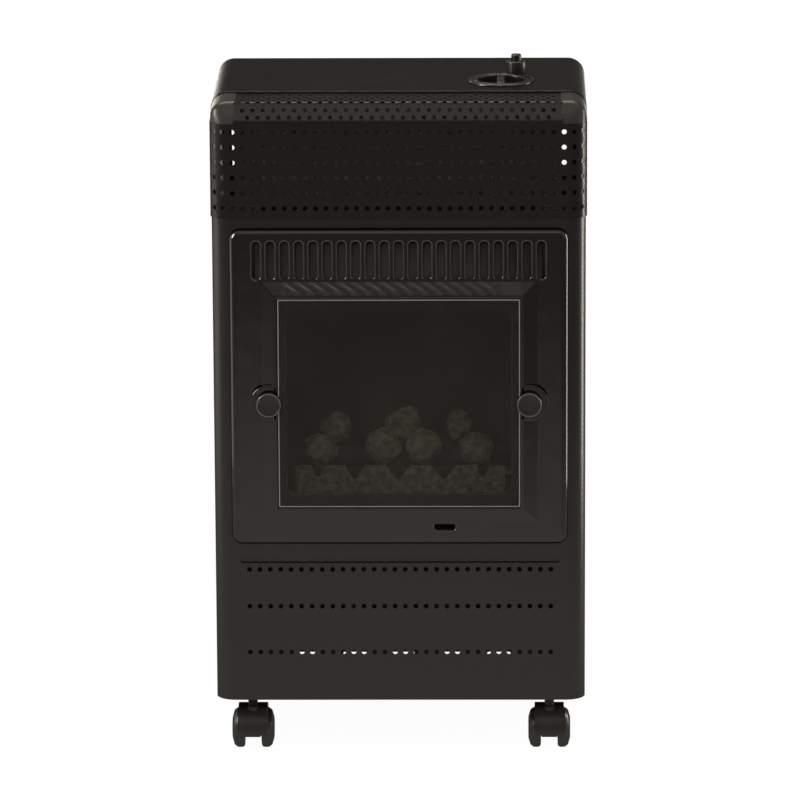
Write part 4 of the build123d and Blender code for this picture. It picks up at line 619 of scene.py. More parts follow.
# %% Shells
class Shell:
    """The points and faces of one piece, in millimetres."""

    def __init__(self):
        self.points = []
        self.faces = []

    def add(self, points, faces):
        start = len(self.points)
        self.points += [tuple(point) for point in points]
        self.faces += [[start + index for index in face] for face in faces]

    def strip(self, loops, closed=True):
        """Quads between loops of equal length."""
        count = len(loops[0])
        faces = []
        for low in range(0, count * (len(loops) - 1), count):
            for this in range(count if closed else count - 1):
                after = (this + 1) % count
                faces.append((low + this, low + after, low + count + after, low + count + this))
        self.add([point for loop in loops for point in loop], faces)

    def cap(self, loop):
        """One face over a loop."""
        self.add(loop, [range(len(loop))])

    def fill(self, outline, holes, y=None, z=None):
        """Triangles in the plane at y or at z, between an outline and its holes."""
        loops = [outline, *holes]
        flat = [Vector(point) for loop in loops for point in loop]
        borders = []
        for loop in loops:
            start = len(borders)
            borders += [(start + i, start + (i + 1) % len(loop)) for i in range(len(loop))]
        points, _, triangles, *_ = delaunay_2d_cdt(flat, borders, [], 0, 1e-7)
        kept = []
        for face in triangles:
            middle = sum((points[i] for i in face), Vector((0, 0))) / len(face)
            if inside(middle, outline) and not any(inside(middle, hole) for hole in holes):
                kept.append(face)
        self.add([(p, q, z) if y is None else (p, y, q) for p, q in points], kept)


def inside(point, outline):
    """Whether a point is within an outline, by counting crossings."""
    x, z = point
    crossings = 0
    for (x1, z1), (x2, z2) in zip(outline, outline[1:] + outline[:1]):
        if (z1 > z) != (z2 > z) and x < x1 + (z - z1) * (x2 - x1) / (z2 - z1):
            crossings += 1
    return crossings % 2 == 1


print("shells ready")

# %% [markdown]
# Outlines come from two helpers: a rectangle with round corners, which can be grown evenly, and a
# line through a few corners of a section, each rounded with the radius of the press tool.


# %% Outlines
def rounded_rectangle(size, radius, grow=0.0, middle=(0.0, WINDOW), corner_parts=5, top_parts=1):
    """Outline in (x, z), anticlockwise from the upper end of the right side."""
    width, height = size[0] + 2 * grow, size[1] + 2 * grow
    radius += grow
    outline = []
    for quarter, (sx, sz) in enumerate(QUARTERS):
        x = middle[0] + sx * (width / 2 - radius)
        z = middle[1] + sz * (height / 2 - radius)
        for step in range(corner_parts + 1):
            angle = math.radians(90 * (quarter + step / corner_parts))
            outline.append((x + radius * math.cos(angle), z + radius * math.sin(angle)))
        if quarter == 0:
            span = width - 2 * radius
            outline += [(x - span * part / top_parts, z + radius) for part in range(1, top_parts)]
    return outline


def ring(outline, y):
    return [(x, y, z) for x, z in outline]


def flattened(loop):
    return [(x, z) for x, _, z in loop]


def soften(corners, radii, parts=5):
    """A line through corners, each inner corner rounded with its radius."""
    line = [Vector(corners[0])]
    for before, corner, after, radius in zip(corners, corners[1:], corners[2:], radii):
        here = Vector(corner)
        back = (Vector(before) - here).normalized()
        on = (Vector(after) - here).normalized()
        half = back.angle(on) / 2
        centre = here + (back + on).normalized() * radius / math.sin(half)
        start = here + back * radius / math.tan(half) - centre
        end = here + on * radius / math.tan(half) - centre
        swing = start.angle(end)
        for part in range(parts + 1):
            share = part / parts
            spoke = start * math.sin((1 - share) * swing) + end * math.sin(share * swing)
            line.append(centre + spoke / math.sin(swing))
    line.append(Vector(corners[-1]))
    return line


def divided(line, step):
    """The same line with long runs divided."""
    result = [line[0]]
    for start, end in zip(line, line[1:]):
        parts = max(1, round((end - start).length / step))
        result += [start.lerp(end, part / parts) for part in range(1, parts + 1)]
    return result


def full_turn(parts):
    return [2 * math.pi * part / parts for part in range(parts)]


print("outline helpers ready")

# %% [markdown]
# A shell becomes a piece in one place. Points that coincide are merged, faces are turned outwards,
# and edges sharper than a given angle stay sharp in the shading. The piece takes the place of its
# CAD nodes and rides on their body. Sheets get their thickness and their soft edges from modifiers.

# %% From shell to piece
MERGE_WITHIN = 2e-6


def make_piece(name, shell, slot, nodes, sharp, body="cabinet", turn_out=True, finish=None):
    """An object from a shell, standing for CAD nodes and riding on a body."""
    mesh = bpy.data.meshes.new(name)
    work = bmesh.new()
    corners = [work.verts.new(Vector(point) * MM) for point in shell.points]
    for face in shell.faces:
        work.faces.new([corners[index] for index in face])
    bmesh.ops.remove_doubles(work, verts=work.verts, dist=MERGE_WITHIN)
    if turn_out:
        bmesh.ops.recalc_face_normals(work, faces=work.faces)
    work.to_mesh(mesh)
    work.free()
    mesh.polygons.foreach_set("use_smooth", [True] * len(mesh.polygons))
    mesh.set_sharp_from_angle(angle=math.radians(sharp))
    mesh.materials.append(finishes[finish or slot])
    piece = bpy.data.objects.new(name, mesh)
    scene.collection.objects.link(piece)
    if nodes:
        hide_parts(*nodes)
    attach(piece, body)
    print(name, len(mesh.polygons), "faces")
    return piece


def add_modifier(piece, kind, **settings):
    modifier = piece.modifiers.new(kind.lower(), kind)
    for name, value in settings.items():
        setattr(modifier, name, value)


def thicken(piece, thickness, softness, segments=3, even=True):
    """Gives a sheet its thickness, inwards, and soft edges."""
    add_modifier(piece, "SOLIDIFY", thickness=thickness * MM, offset=-1.0, use_even_offset=even)
    limit = {"limit_method": "ANGLE", "angle_limit": math.radians(50)}
    add_modifier(piece, "BEVEL", width=softness * MM, segments=segments, **limit)


def shade_by_area(piece):
    """Lets the large flat faces decide the shading of the small ones beside them."""
    add_modifier(piece, "WEIGHTED_NORMAL", keep_sharp=True)


def lathe(shell, section, middle, axis="Z", parts=64, ribs=0, rib=0.0):
    """Turns a section of (radius, place along the axis); ribs are cut in by a depth."""
    loops = []
    for radius, along in section:
        loop = []
        for angle in full_turn(parts):
            reach = radius - rib * (0.5 + 0.5 * math.cos(ribs * angle))
            point = [middle[0] + reach * math.cos(angle), middle[1] + reach * math.sin(angle)]
            point.insert("XYZ".index(axis), along)
            loop.append(point)
        loops.append(loop)
    shell.strip(loops)
    if (Vector(section[0]) - Vector(section[-1])).length > 0.01:
        for end in (0, -1):
            if section[end][0] > 0.01:
                shell.cap(loops[end])


print("piece helpers ready")

# %% [markdown]
# ## The top grille
# The grille is one perforated sheet. It stands upright at the front, leans back in a narrow slanted
# band, runs flat to the deck, and is folded round both front corners. A Boolean with five hundred
# holes would be slow and shade badly. Here each hole is a small cell of sixteen quads, laid out on
# the flat sheet, and the finished sheet is then bent by moving its points.

# %% The flat sheet
COLUMN_PITCH = 11.581
ROW_PITCH = 17.36
LOWEST_ROW = 638.6
SHEET_LOW, UPRIGHT_TOP = 626.1, 737.885
SHEET_OUT = 1.3  # how far the grille stands off the cabinet
BAND_DEPTH = 69.0
grille_corners = [
    (-SHEET_OUT, SHEET_LOW), (-SHEET_OUT, UPRIGHT_TOP), (11.294, 757.3), (BAND_DEPTH, 757.7)
]
grille_section = soften(grille_corners, (3.0, 3.4))
FOLD_START = grille_section[1].y - 0.01
runs = [0.0]
for start, end in zip(grille_section, grille_section[1:]):
    runs.append(runs[-1] + (end - start).length)


def up_the_sheet(run):
    """Depth and height at a run along the section, from its lower edge."""
    for index in range(len(runs) - 1):
        if run <= runs[index + 1]:
            break
    share = (run - runs[index]) / (runs[index + 1] - runs[index])
    return grille_section[index].lerp(grille_section[index + 1], share)


def round_the_corner(run):
    """X and depth at a run from the middle, round the front corners."""
    side = 1 if run >= 0 else -1
    radius = BODY_CORNER + SHEET_OUT
    flat = BODY_HALF - BODY_CORNER
    arc = radius * math.pi / 2
    along = abs(run)
    if along <= flat:
        return side * along, -SHEET_OUT
    if along >= flat + arc:
        return side * (BODY_HALF + SHEET_OUT), BODY_CORNER + along - flat - arc
    turn = (along - flat) / radius
    return side * (flat + radius * math.sin(turn)), BODY_CORNER - radius * math.cos(turn)


def bend(u, v):
    """A point of the flat sheet on the folded one."""
    depth, z = up_the_sheet(v)
    x, corner_depth = round_the_corner(u)
    return (x, at(corner_depth if z < FOLD_START else depth), z)


print("section length", round(runs[-1], 1), "first fold at", round(FOLD_START, 1))

# %% [markdown]
# The border of a cell is divided into quarters, and so is the edge of every plain patch beside it.
# Their points then meet, and merge into one sheet.


# %% Cells
def hole_cell(sheet, u, low, high, v, radius):
    """Sixteen quads between the border of a cell and the hole in it."""
    border, rim = [], []
    for angle in full_turn(16):
        across, along = math.cos(angle), math.sin(angle)
        longest = max(abs(across), abs(along))
        step_u, step_v = round(2 * across / longest) / 2, round(2 * along / longest) / 2
        edge_v = (low + high) / 2 + step_v * (high - low) / 2
        border.append(bend(u + step_u * COLUMN_PITCH / 2, edge_v))
        rim.append(bend(u + radius * across, v + radius * along))
    sheet.strip([border, rim])


def plain_patch(sheet, left, right, low, high, step=None):
    """A patch without a hole, divided so that its edges meet the cells beside it."""
    count = max(1, round((right - left) / step)) if step else 1
    us = [left + (right - left) * i / count for i in range(count + 1)]
    vs = [low + (high - low) * i / 4 for i in range(5)]
    sheet.strip([[bend(u, v) for u in us] for v in vs], closed=False)


def plain_sides(sheet, near, far, low, high, step=None):
    """The same patch on the left and on the right."""
    plain_patch(sheet, -far, -near, low, high, step)
    plain_patch(sheet, near, far, low, high, step)


UPRIGHT_ROWS, UPRIGHT_COLUMNS = 6, 43
SIDE_REACH = 263.6  # from the middle, round the corner, to the edge of the sheet
HOLE_RADIUS = 2.8
QUARTER_CELL = COLUMN_PITCH / 4
perforated = UPRIGHT_COLUMNS * COLUMN_PITCH / 2
grille = Shell()
for row in range(UPRIGHT_ROWS):
    v = LOWEST_ROW + row * ROW_PITCH - SHEET_LOW
    low, high = v - ROW_PITCH / 2, v + ROW_PITCH / 2
    for column in range(UPRIGHT_COLUMNS):
        u = (column - UPRIGHT_COLUMNS // 2) * COLUMN_PITCH
        hole_cell(grille, u, low, high, v, HOLE_RADIUS)
    plain_sides(grille, perforated, SIDE_REACH, low, high)
lower_edge = LOWEST_ROW - ROW_PITCH / 2 - SHEET_LOW
plain_patch(grille, -perforated, perforated, 0.0, lower_edge, QUARTER_CELL)
plain_sides(grille, perforated, SIDE_REACH, 0.0, lower_edge)
print("upright cells", UPRIGHT_ROWS * UPRIGHT_COLUMNS)

# %% [markdown]
# The slanted and flat bands have finer holes in staggered rows, and one of the rows lies right on
# the bend between them, where it cuts the bright line of the bend into dashes. A row that is
# shifted by half a cell still meets its neighbours, because every border is divided into quarters.

# %% Staggered rows
BAND_HALF = 183.8  # the bands end under the caps
FINE_RADIUS = 2.4
SLANT_PITCH, FLAT_PITCH = 8.6, 9.4
upright_top = LOWEST_ROW + 5.5 * ROW_PITCH - SHEET_LOW
slant_start = UPRIGHT_TOP - SHEET_LOW
rows = [(slant_start + 4.41, slant_start + 0.1, slant_start + 0.1 + SLANT_PITCH)]
rows.append((slant_start + 13.0, rows[0][2], rows[0][2] + SLANT_PITCH))
for row in range(5):
    v = runs[-1] - BAND_DEPTH + 12.0 + FLAT_PITCH * row
    rows.append((v, v - FLAT_PITCH / 2, v + FLAT_PITCH / 2))
reach = 15.5 * COLUMN_PITCH
for low, high in ((upright_top, rows[0][1]), (rows[1][2], rows[2][1]), (rows[-1][2], runs[-1])):
    plain_patch(grille, -reach, reach, low, high, QUARTER_CELL)
    plain_sides(grille, reach, BAND_HALF, low, high)
for index, (v, low, high) in enumerate(rows):
    count = 31 if index % 2 else 30
    for hole in range(count):
        hole_cell(grille, (hole - (count - 1) / 2) * COLUMN_PITCH, low, high, v, FINE_RADIUS)
    if count == 30:
        plain_sides(grille, 15 * COLUMN_PITCH, reach, low, high, QUARTER_CELL)
    plain_sides(grille, reach, BAND_HALF, low, high)
top_grille = make_piece(
    "top_grille_sheet", grille, "grille_paint", ["top_grille"], sharp=32, turn_out=False
)
thicken(top_grille, 0.8, 0.15, segments=2)
shade_by_area(top_grille)

# %% [markdown]
# ## The enamelled surround
# The surround is pressed from one sheet: a tray with a soft rim, a row of slots, and a mitred
# moulding that stands up round the glass. Its face is flat, so it is filled as one plane with
# holes, and every edge that catches light is a strip with the radius of the press tool.

# %% Tray, slots and sight slot
TRAY_SIZE, TRAY_CORNER, TRAY_MIDDLE = (380.0, 365.0), 13.0, (0.0, 433.4)
TRAY_RIM = 9.0
SURROUND_SHEET = 2.5
SLOT_ROW = 580.5
slots = [((9.0, 43.0), 3.6, ((index - 10) * SLOT_PITCH, SLOT_ROW)) for index in range(21)]
slots.append(((24.0, 8.0), 3.9, (51.0, 272.1)))  # the sight slot under the window
tray_section = soften([(0.0, at(0)), (0.0, FACE), (TRAY_RIM, FACE)], (8.2,), parts=10)
lip_section = soften([(3.0, FACE), (0.0, FACE), (0.0, FACE + SURROUND_SHEET)], (1.8,))[1:]


def tray_outline(inset):
    return rounded_rectangle(TRAY_SIZE, TRAY_CORNER, -inset, TRAY_MIDDLE, 8)


def slot_outline(slot, grow):
    size, radius, middle = slot
    return rounded_rectangle(size, radius, grow, middle, 6)


fascia = Shell()
fascia.strip([ring(tray_outline(inset), y) for inset, y in tray_section])
slot_lips = Shell()
for slot in slots:
    slot_lips.strip([ring(slot_outline(slot, grow), y) for grow, y in lip_section])
make_piece("slot_lips", slot_lips, "enamel", [], sharp=60, finish="lip_highlight_enamel")
print("slots", len(slots))

# %% [markdown]
# The moulding is a section carried round four sides, with square corners that look mitred. Along
# its top it is divided finely, so that the flutes can be raised out of the slope as a cosine wave.

# %% Moulding
MOULDING_PARTS = 340
FLUTE_RISE = 0.25
CREST_END = 18.5
moulding_corners = [
    (-3.0, FACE), (0.0, FACE), (SLOPE, CREST), (CREST_END, CREST), (CREST_END, FACE)
]
moulding_section = divided(soften(moulding_corners, (2.0, 1.8, 1.6)), 1.6)
slope_length = math.hypot(SLOPE, FACE - CREST)
forward, upward = SLOPE / slope_length, (FACE - CREST) / slope_length


def clamped(value):
    return min(max(value, 0.0), 1.0)


def moulding_outline(inset):
    """Outline at an inset; its corners stay as sharp as they are, and sharper on the crest."""
    radius = 1.2 if inset < 14 else 0.6
    return rounded_rectangle(
        MOULDING_SIZE, radius + inset, -inset, corner_parts=3, top_parts=MOULDING_PARTS
    )


def fluting(x, inset):
    """Height of the slanting flutes pressed into the upper slope."""
    share = clamped(inset / SLOPE)
    lean = FLUTE_LEAN * share * share * (3 - 2 * share)
    wave = 0.5 + 0.5 * math.cos(2 * math.pi * (x - lean + FLUTE_SHIFT) / SLOT_PITCH)
    ends = clamped((FLUTES_RIGHT - x) / 8.0) * clamped((x - FLUTES_LEFT) / 8.0)
    return FLUTE_RISE * wave ** 2 * ends * math.sin(math.pi * share)


loops = []
for inset, y in moulding_section:
    loop = []
    for x, z in moulding_outline(inset):
        on_top = z > SLOPE_FOOT - inset - 0.01 and abs(x) < MOULDING_SIZE[0] / 2 - inset - 1.0
        rise = fluting(x, inset) if on_top else 0.0
        loop.append((x, y - forward * rise, z + upward * rise))
    loops.append(loop)
fascia.strip(loops)
print("moulding points", len(loops) * len(loops[0]))

# %% [markdown]
# The rest of the surround is flat: the face round the moulding, the ledge between the moulding and
# the opening, and the back of the sheet.

# %% Faces of the tray
APERTURE_SIZE, APERTURE_CORNER = (253.6, 214.0), 12.0


def aperture_outline(grow):
    """The opening behind the glass, or that opening grown."""
    return rounded_rectangle(APERTURE_SIZE, APERTURE_CORNER, grow, corner_parts=8)


face_lips = [slot_outline(slot, lip_section[0][0]) for slot in slots]
fascia.fill(tray_outline(TRAY_RIM), [flattened(loops[0]), *face_lips], FACE)
aperture_lip = [ring(aperture_outline(grow), y) for grow, y in lip_section]
fascia.fill(flattened(loops[-1]), [flattened(aperture_lip[0])], FACE)
fascia.strip(aperture_lip)
inner = tray_outline(SURROUND_SHEET)
back_holes = [aperture_outline(0.0)] + [slot_outline(slot, 0.0) for slot in slots]
back_of_face = FACE + SURROUND_SHEET
fascia.fill(inner, back_holes, back_of_face)
fascia.strip([ring(inner, back_of_face), ring(inner, at(0)), ring(tray_outline(0.0), at(0))])
shade_by_area(make_piece("window_surround", fascia, "enamel", ["window_fascia"], sharp=40))

# %% [markdown]
# Two round pads cross the moulding and carry the knobs that clamp the glass. Each is a disc with a
# soft rim, cut off straight where the pane begins.

# %% Knob pads
PAD_RADIUS = 21.5
PAD_CUT = KNOB_X - 136.5
pads = Shell()
pad_section = soften([(PAD_RADIUS, FACE + 1.0), (PAD_RADIUS, CREST), (10.0, CREST)], (1.8,))[:-1]
for side in (-1, 1):
    loops = []
    for radius, y in pad_section:
        widest = math.acos(-PAD_CUT / radius)
        loop = []
        for part in range(49):
            turn = widest * (2 * part / 48 - 1)
            x = side * (KNOB_X + radius * math.cos(turn))
            loop.append((x, y, WINDOW + radius * math.sin(turn)))
        loops.append(loop)
    pads.strip(loops)
    pads.cap(loops[-1])
    pads.cap(loops[0])
shade_by_area(make_piece("window_knob_pads", pads, "enamel", [], sharp=40))

# %% [markdown]
# Behind the slots hangs a deflector that keeps the heat of the firebox off the grille. It leans
# back, so daylight reaches it, and it is why the slots look nearly as pale as the face round them.
# The glass has a ground edge, drawn as a fine pale ring that is a painted highlight line where the
# pane lies in the moulding. A thin bead of steel round the opening behind it takes the same pale
# finish, as a painted highlight line too.

# %% Slot deflector, and painted highlight lines at the edge of the pane and round the opening
DEFLECTOR_HALF = 161.0
deflector = Shell()
lean = soften([(558.0, -2.2), (556.4, -5.8), (603.0, -0.6)], (1.0,), parts=4)
ends = (-DEFLECTOR_HALF, DEFLECTOR_HALF)
deflector.strip([[(x, at(depth), z) for z, depth in lean] for x in ends], closed=False)
deflector_piece = make_piece(
    "slot_deflector", deflector, "plain_steel", [], sharp=60, finish="deflector_steel"
)
add_modifier(deflector_piece, "SOLIDIFY", thickness=0.5 * MM, offset=0.0)
PANE_SIZE = (271.8, 239.8)
# the pale ring at the pane's edge is a painted highlight line
pane_section = [(0.0, 0.25), (1.1, 0.25), (1.1, 0.29), (0.0, 0.29), (0.0, 0.25)]
pane_edge = Shell()
pane_edge.strip([
    ring(rounded_rectangle(PANE_SIZE, 1.3 + cut / 2, -cut), CREST + y) for cut, y in pane_section
])
make_piece("pane_edge_highlight", pane_edge, "glass", [], sharp=30, finish="glass_edge")
# the pale bead round the opening is a painted highlight line
bead_section = [(1.7, 0.0), (1.4, -0.45), (0.8, -0.6), (0.2, -0.45), (0.0, 0.0), (1.7, 0.0)]
trim = Shell()
trim.strip([ring(aperture_outline(grow), FACE + y) for grow, y in bead_section])
make_piece("aperture_highlight_bead", trim, "plain_steel", [], sharp=80, finish="glass_edge")

# %% [markdown]
# ## Glass knobs
# Each knob is turned from a phenolic disc, with a narrow raised rim round a shallow recess. The rim
# is what shows in the picture, as one thin bright line.

# %% Turned knobs
KNOB_RADIUS, KNOB_DEPTH, RECESS = 14.0, 8.0, 0.7
back = CREST - 0.3
front, recess = back - KNOB_DEPTH, back - KNOB_DEPTH + RECESS
knob_corners = [
    (3.2, back), (KNOB_RADIUS, back), (KNOB_RADIUS, front), (12.4, front), (11.4, recess),
    (3.2, recess),
]
knob_section = soften(knob_corners, (0.6, 1.4, 0.5, 0.8), parts=4)
for side, name in ((-1, "glass_knob_left"), (1, "glass_knob_right")):
    knob = Shell()
    lathe(knob, knob_section, (side * KNOB_X, WINDOW), axis="Y")
    make_piece(name + "_turned", knob, "knob_black", [name], sharp=50, body=name)

# %% [markdown]
# ## The deck
# The deck is folded from one sheet, with round shoulders at the sides, a rolled lip in front and a
# skirt on three sides. Its outside is drawn as a section carried back, a flat top with two holes
# and the rear skirt.

# %% Deck
DECK_START, DECK_END = at(61.1), at(263.0)
DECK_HALF, DECK_SKIRT, SHOULDER, DECK_LIP = 211.3, 34.0, 19.3, 2.2
CONTROL_PLACE, CONTROL_HOLE = (115.2, at(122.0)), 28.2
IGNITER_PLACE, IGNITER_HOLE = (132.4, at(160.0)), 8.2


def shoulder_line(inset):
    """Section of the right side of the deck, up to where its flat top begins."""
    side, top = DECK_HALF - inset, DECK_TOP - inset
    corners = [(side, DECK_TOP - DECK_SKIRT), (side, top), (0.0, top)]
    return soften(corners, (SHOULDER - inset,), parts=12)[:-1]


def round_hole(middle, radius, parts):
    x, y = middle
    return [(x + radius * math.cos(a), y + radius * math.sin(a)) for a in full_turn(parts)]


deck = Shell()
lip_loops = []
for part in range(7):
    turn = math.pi / 2 * part / 6
    half = shoulder_line(DECK_LIP * (1 - math.sin(turn)))
    y = DECK_START + DECK_LIP * (1 - math.cos(turn))
    lip_loops.append([(x, y, z) for x, z in half] + [(-x, y, z) for x, z in reversed(half)])
deck.strip(lip_loops, closed=False)
shoulder = shoulder_line(0.0)
flat_start = DECK_START + DECK_LIP
for side in (-1, 1):
    shoulder_ends = [[(side * x, y, z) for x, z in shoulder] for y in (flat_start, DECK_END)]
    deck.strip(shoulder_ends, closed=False)
flat_half = DECK_HALF - SHOULDER
top_corners = [
    (flat_half, flat_start), (flat_half, DECK_END), (-flat_half, DECK_END), (-flat_half, flat_start)
]
holes = [round_hole(CONTROL_PLACE, CONTROL_HOLE, 64), round_hole(IGNITER_PLACE, IGNITER_HOLE, 32)]
deck.fill(top_corners, holes, z=DECK_TOP)
rear = [(x, DECK_END, z) for x, z in shoulder[1:]]
deck.cap(rear + [(-x, y, z) for x, y, z in reversed(rear)])
deck_plate = make_piece(
    "deck_plate", deck, "body_paint", ["top_deck"], sharp=40, finish="deck_paint"
)
thicken(deck_plate, 1.2, 0.5)
shade_by_area(deck_plate)

# %% [markdown]
# ## Bezel, cup and collar
# The bezel of the gas control is a ring with a round rim and a shallow groove, and the cup for the
# knob hangs from it in one piece. Behind it the igniter stands in a ribbed nut. Both are turned,
# and the ribs are cut into the nut by a cosine round its axis.

# %% Turned pieces on the deck
SEAT = DECK_TOP + 0.1
cup_low, cup_floor = DECK_TOP - 15.0, DECK_TOP - 13.5
ring_top, groove = DECK_TOP + 2.1, DECK_TOP + 1.0
bezel_corners = [
    (4.6, cup_floor), (26.6, cup_floor), (26.6, ring_top), (30.0, ring_top), (30.9, groove),
    (33.0, groove), (33.8, ring_top), (37.0, ring_top), (37.0, SEAT), (28.1, SEAT),
    (28.1, cup_low), (4.6, cup_low), (4.6, cup_floor),
]
bezel_section = soften(bezel_corners, (1.5, 1.5, 0.8, 0.5, 0.5, 0.8, 1.8, 0.1, 0.1, 0.3, 0.1))
bezel = Shell()
lathe(bezel, bezel_section, CONTROL_PLACE, parts=96)
make_piece("control_bezel_turned", bezel, "control_plastic", ["control_bezel"], sharp=50)
nut_top, nut_recess = DECK_TOP + 16.0, DECK_TOP + 14.8
nut_corners = [
    (11.0, SEAT), (11.0, nut_top), (5.9, nut_top), (5.9, nut_recess), (8.3, nut_recess),
    (8.3, SEAT), (11.0, SEAT),
]
nut_section = soften(nut_corners, (1.6, 0.4, 0.1, 0.1, 0.1))
nut = Shell()
lathe(nut, nut_section, IGNITER_PLACE, parts=120, ribs=20, rib=0.35)
make_piece("igniter_collar_ribbed", nut, "control_plastic", ["igniter_collar"], sharp=50)

# %% [markdown]
# ## Castor wheels
# Each castor runs on two moulded wheels. Their treads are round on the inner edge, domed on the
# outer one, and have a dished hub. The axle ends in a blind bore, so the section starts and ends on
# the axis.

# %% Wheels
CASTOR_X = 169.5
CASTOR_DEPTHS = {"front": 27.0, "rear": 395.0}
AXLE_TRAIL = 9.0
WHEEL_RADIUS = 23.0
wheel_corners = [
    (0.0, 20.2), (4.05, 20.2), (4.05, 9.5), (WHEEL_RADIUS, 9.5), (WHEEL_RADIUS, 17.5),
    (20.3, 21.6), (12.0, 24.0), (10.0, 22.9), (0.0, 22.9),
]
wheel_section = soften(wheel_corners, (0.2, 0.3, 3.6, 2.5, 4.0, 1.2, 0.8))
for row, depth in CASTOR_DEPTHS.items():
    for column, x in (("left", -CASTOR_X), ("right", CASTOR_X)):
        for side, turned in (("left", -1), ("right", 1)):
            wheel = Shell()
            section = [(radius, x + turned * along) for radius, along in wheel_section]
            lathe(wheel, section, (at(depth) + AXLE_TRAIL, WHEEL_RADIUS), axis="X")
            node = f"castor_{row}_{column}_wheel_{side}"
            make_piece(node + "_moulded", wheel, "wheel_plastic", [node], sharp=50, body=node)

# %% [markdown]
# ## Corner caps
# Each end of the grille is closed by a moulded cap whose faces run softly into one another. The
# form is easiest as a formula: how far a point is outside the front, the slant, the top and the
# side, joined by a smooth maximum. Rays from the cap's inner corner find the surface, on a grid
# like the corner of a cube.

# %% The form of a cap
CAP_OUT = 1.6  # how far the cap stands off the cabinet
CAP_TOP = 756.4
CAP_SHOULDER = 18.0
CAP_CORNER = Vector((182.4, 60.9, 734.1))
CAP_SLANT = (12.0, 756.0), (0.8389, 0.5442)


def smooth_max(first, second, blend):
    share = clamped(0.5 + 0.5 * (first - second) / blend)
    return second + (first - second) * share + blend * share * (1 - share)


def rounded_corner(p, q, radius):
    """Distance outside a corner whose two faces are at p = 0 and q = 0."""
    a, b = p + radius, q + radius
    return math.hypot(max(a, 0), max(b, 0)) + min(max(a, b), 0) - radius


def outside_cap(x, depth, z):
    """How far a point of (x, depth, z) is outside the cap."""
    side, front, top = x - BODY_HALF - CAP_OUT, -depth - CAP_OUT, z - CAP_TOP - CAP_OUT
    (fold_depth, fold_z), (back, up) = CAP_SLANT
    slant = (fold_depth - depth) * back + (z - fold_z) * up - CAP_OUT
    plan = rounded_corner(side, front, BODY_CORNER + CAP_OUT)
    shoulder = rounded_corner(side, top, CAP_SHOULDER + CAP_OUT)
    return smooth_max(smooth_max(plan, shoulder, 5.0), slant, 7.0)


def on_cap(direction):
    """The point where a ray from the inner corner leaves the cap."""
    near, far = 0.0, 120.0
    for _ in range(40):
        middle = (near + far) / 2
        if outside_cap(*(CAP_CORNER + direction * middle)) > 0:
            far = middle
        else:
            near = middle
    return CAP_CORNER + direction * near


CAP_PARTS = 22
cap_reaches = (29.2, -62.5, 24.0)
cap_grids = []
for fixed in range(3):
    grid = []
    for row in range(CAP_PARTS + 1):
        line = []
        for column in range(CAP_PARTS + 1):
            corner = [row / CAP_PARTS, column / CAP_PARTS]
            corner.insert(fixed, 1.0)
            direction = Vector([part * reach for part, reach in zip(corner, cap_reaches)])
            line.append(on_cap(direction.normalized()))
        grid.append(line)
    cap_grids.append(grid)
print("cap points", 3 * (CAP_PARTS + 1) ** 2)

# %% [markdown]
# The two caps are each other's mirror image, so the same grids serve for both. A cap is an open
# shell, for which Blender can't tell inside from outside. Its faces are turned by hand, away from a
# point in its hollow, and the thickness of the wall then grows inwards.

# %% Both caps
for side, name in ((-1, "corner_cap_left"), (1, "corner_cap_right")):
    cap = Shell()
    for grid in cap_grids:
        lines = [[(side * x, at(depth), z) for x, depth, z in line] for line in grid]
        cap.strip(lines, closed=False)
    piece = make_piece(name + "_moulded", cap, "cap_plastic", [name], sharp=60)
    heart = Vector((side * 180.0, at(60), 730.0)) * MM
    faces = piece.data.polygons
    if sum(face.normal.dot(face.center - heart) for face in faces) < 0:
        piece.data.flip_normals()
    thicken(piece, 2.6, 0.5, even=False)

# %% [markdown]
# ## Ceramic coals
# The coals are pressed from ceramic fibre in a few soft lumps, rough and a little angular. A sphere
# that is pushed in by a handful of flat planes, then roughened by noise at three scales, gives such
# a lump without any sculpting by hand.

# %% Coals
BED = 236.0  # width of the fuel bed; a coal's place and width are shares of it
FRONT_COALS = (
    (-0.383, 0.169, 36.0), (-0.082, 0.182, 42.0), (0.112, 0.178, 41.0), (0.370, 0.174, 38.0)
)
REAR_COALS = ((-0.318, 0.157, 36.0), (0.013, 0.186, 41.0), (0.280, 0.136, 36.0))
COAL_FACETS = 11
COAL_ROUGHNESS = ((0.10, 1.0), (0.035, 3.3), (0.018, 9.0))


def coal(shell, middle, size, seed):
    """A rough lump that fills a box of the given size and stands on its lowest point."""
    work = bmesh.new()
    bmesh.ops.create_icosphere(work, subdivisions=5, radius=1.0)
    planes = []
    for index in range(COAL_FACETS):
        angle = 2.4 * index + seed
        height = 1 - 2 * (index + 0.5) / COAL_FACETS
        spread = math.sqrt(1 - height * height)
        normal = Vector((spread * math.cos(angle), spread * math.sin(angle), height))
        planes.append((normal, 0.80 + 0.05 * (index % 4)))
    points = []
    for vertex in work.verts:
        direction = vertex.co.normalized()
        reach = 1.0
        for normal, distance in planes:
            lean = direction.dot(normal)
            if lean > 0.2:
                reach = -smooth_max(-reach, -distance / lean, 0.10)
        spot = direction * 1.7 + Vector((seed, 2 * seed, 0))
        rough = [share * noise.noise(spot * scale) for share, scale in COAL_ROUGHNESS]
        points.append(direction * reach * (1 + sum(rough)))
    lows = [min(point[i] for point in points) for i in range(3)]
    highs = [max(point[i] for point in points) for i in range(3)]
    placed = []
    for point in points:
        across, along, up = [(point[i] - lows[i]) / (highs[i] - lows[i]) for i in range(3)]
        share = Vector((across - 0.5, along - 0.5, max(up - 0.05, 0.0) / 0.95))
        placed.append(Vector(middle) + share * Vector(size))
    work.verts.index_update()
    shell.add(placed, [[vertex.index for vertex in face.verts] for face in work.faces])
    work.free()


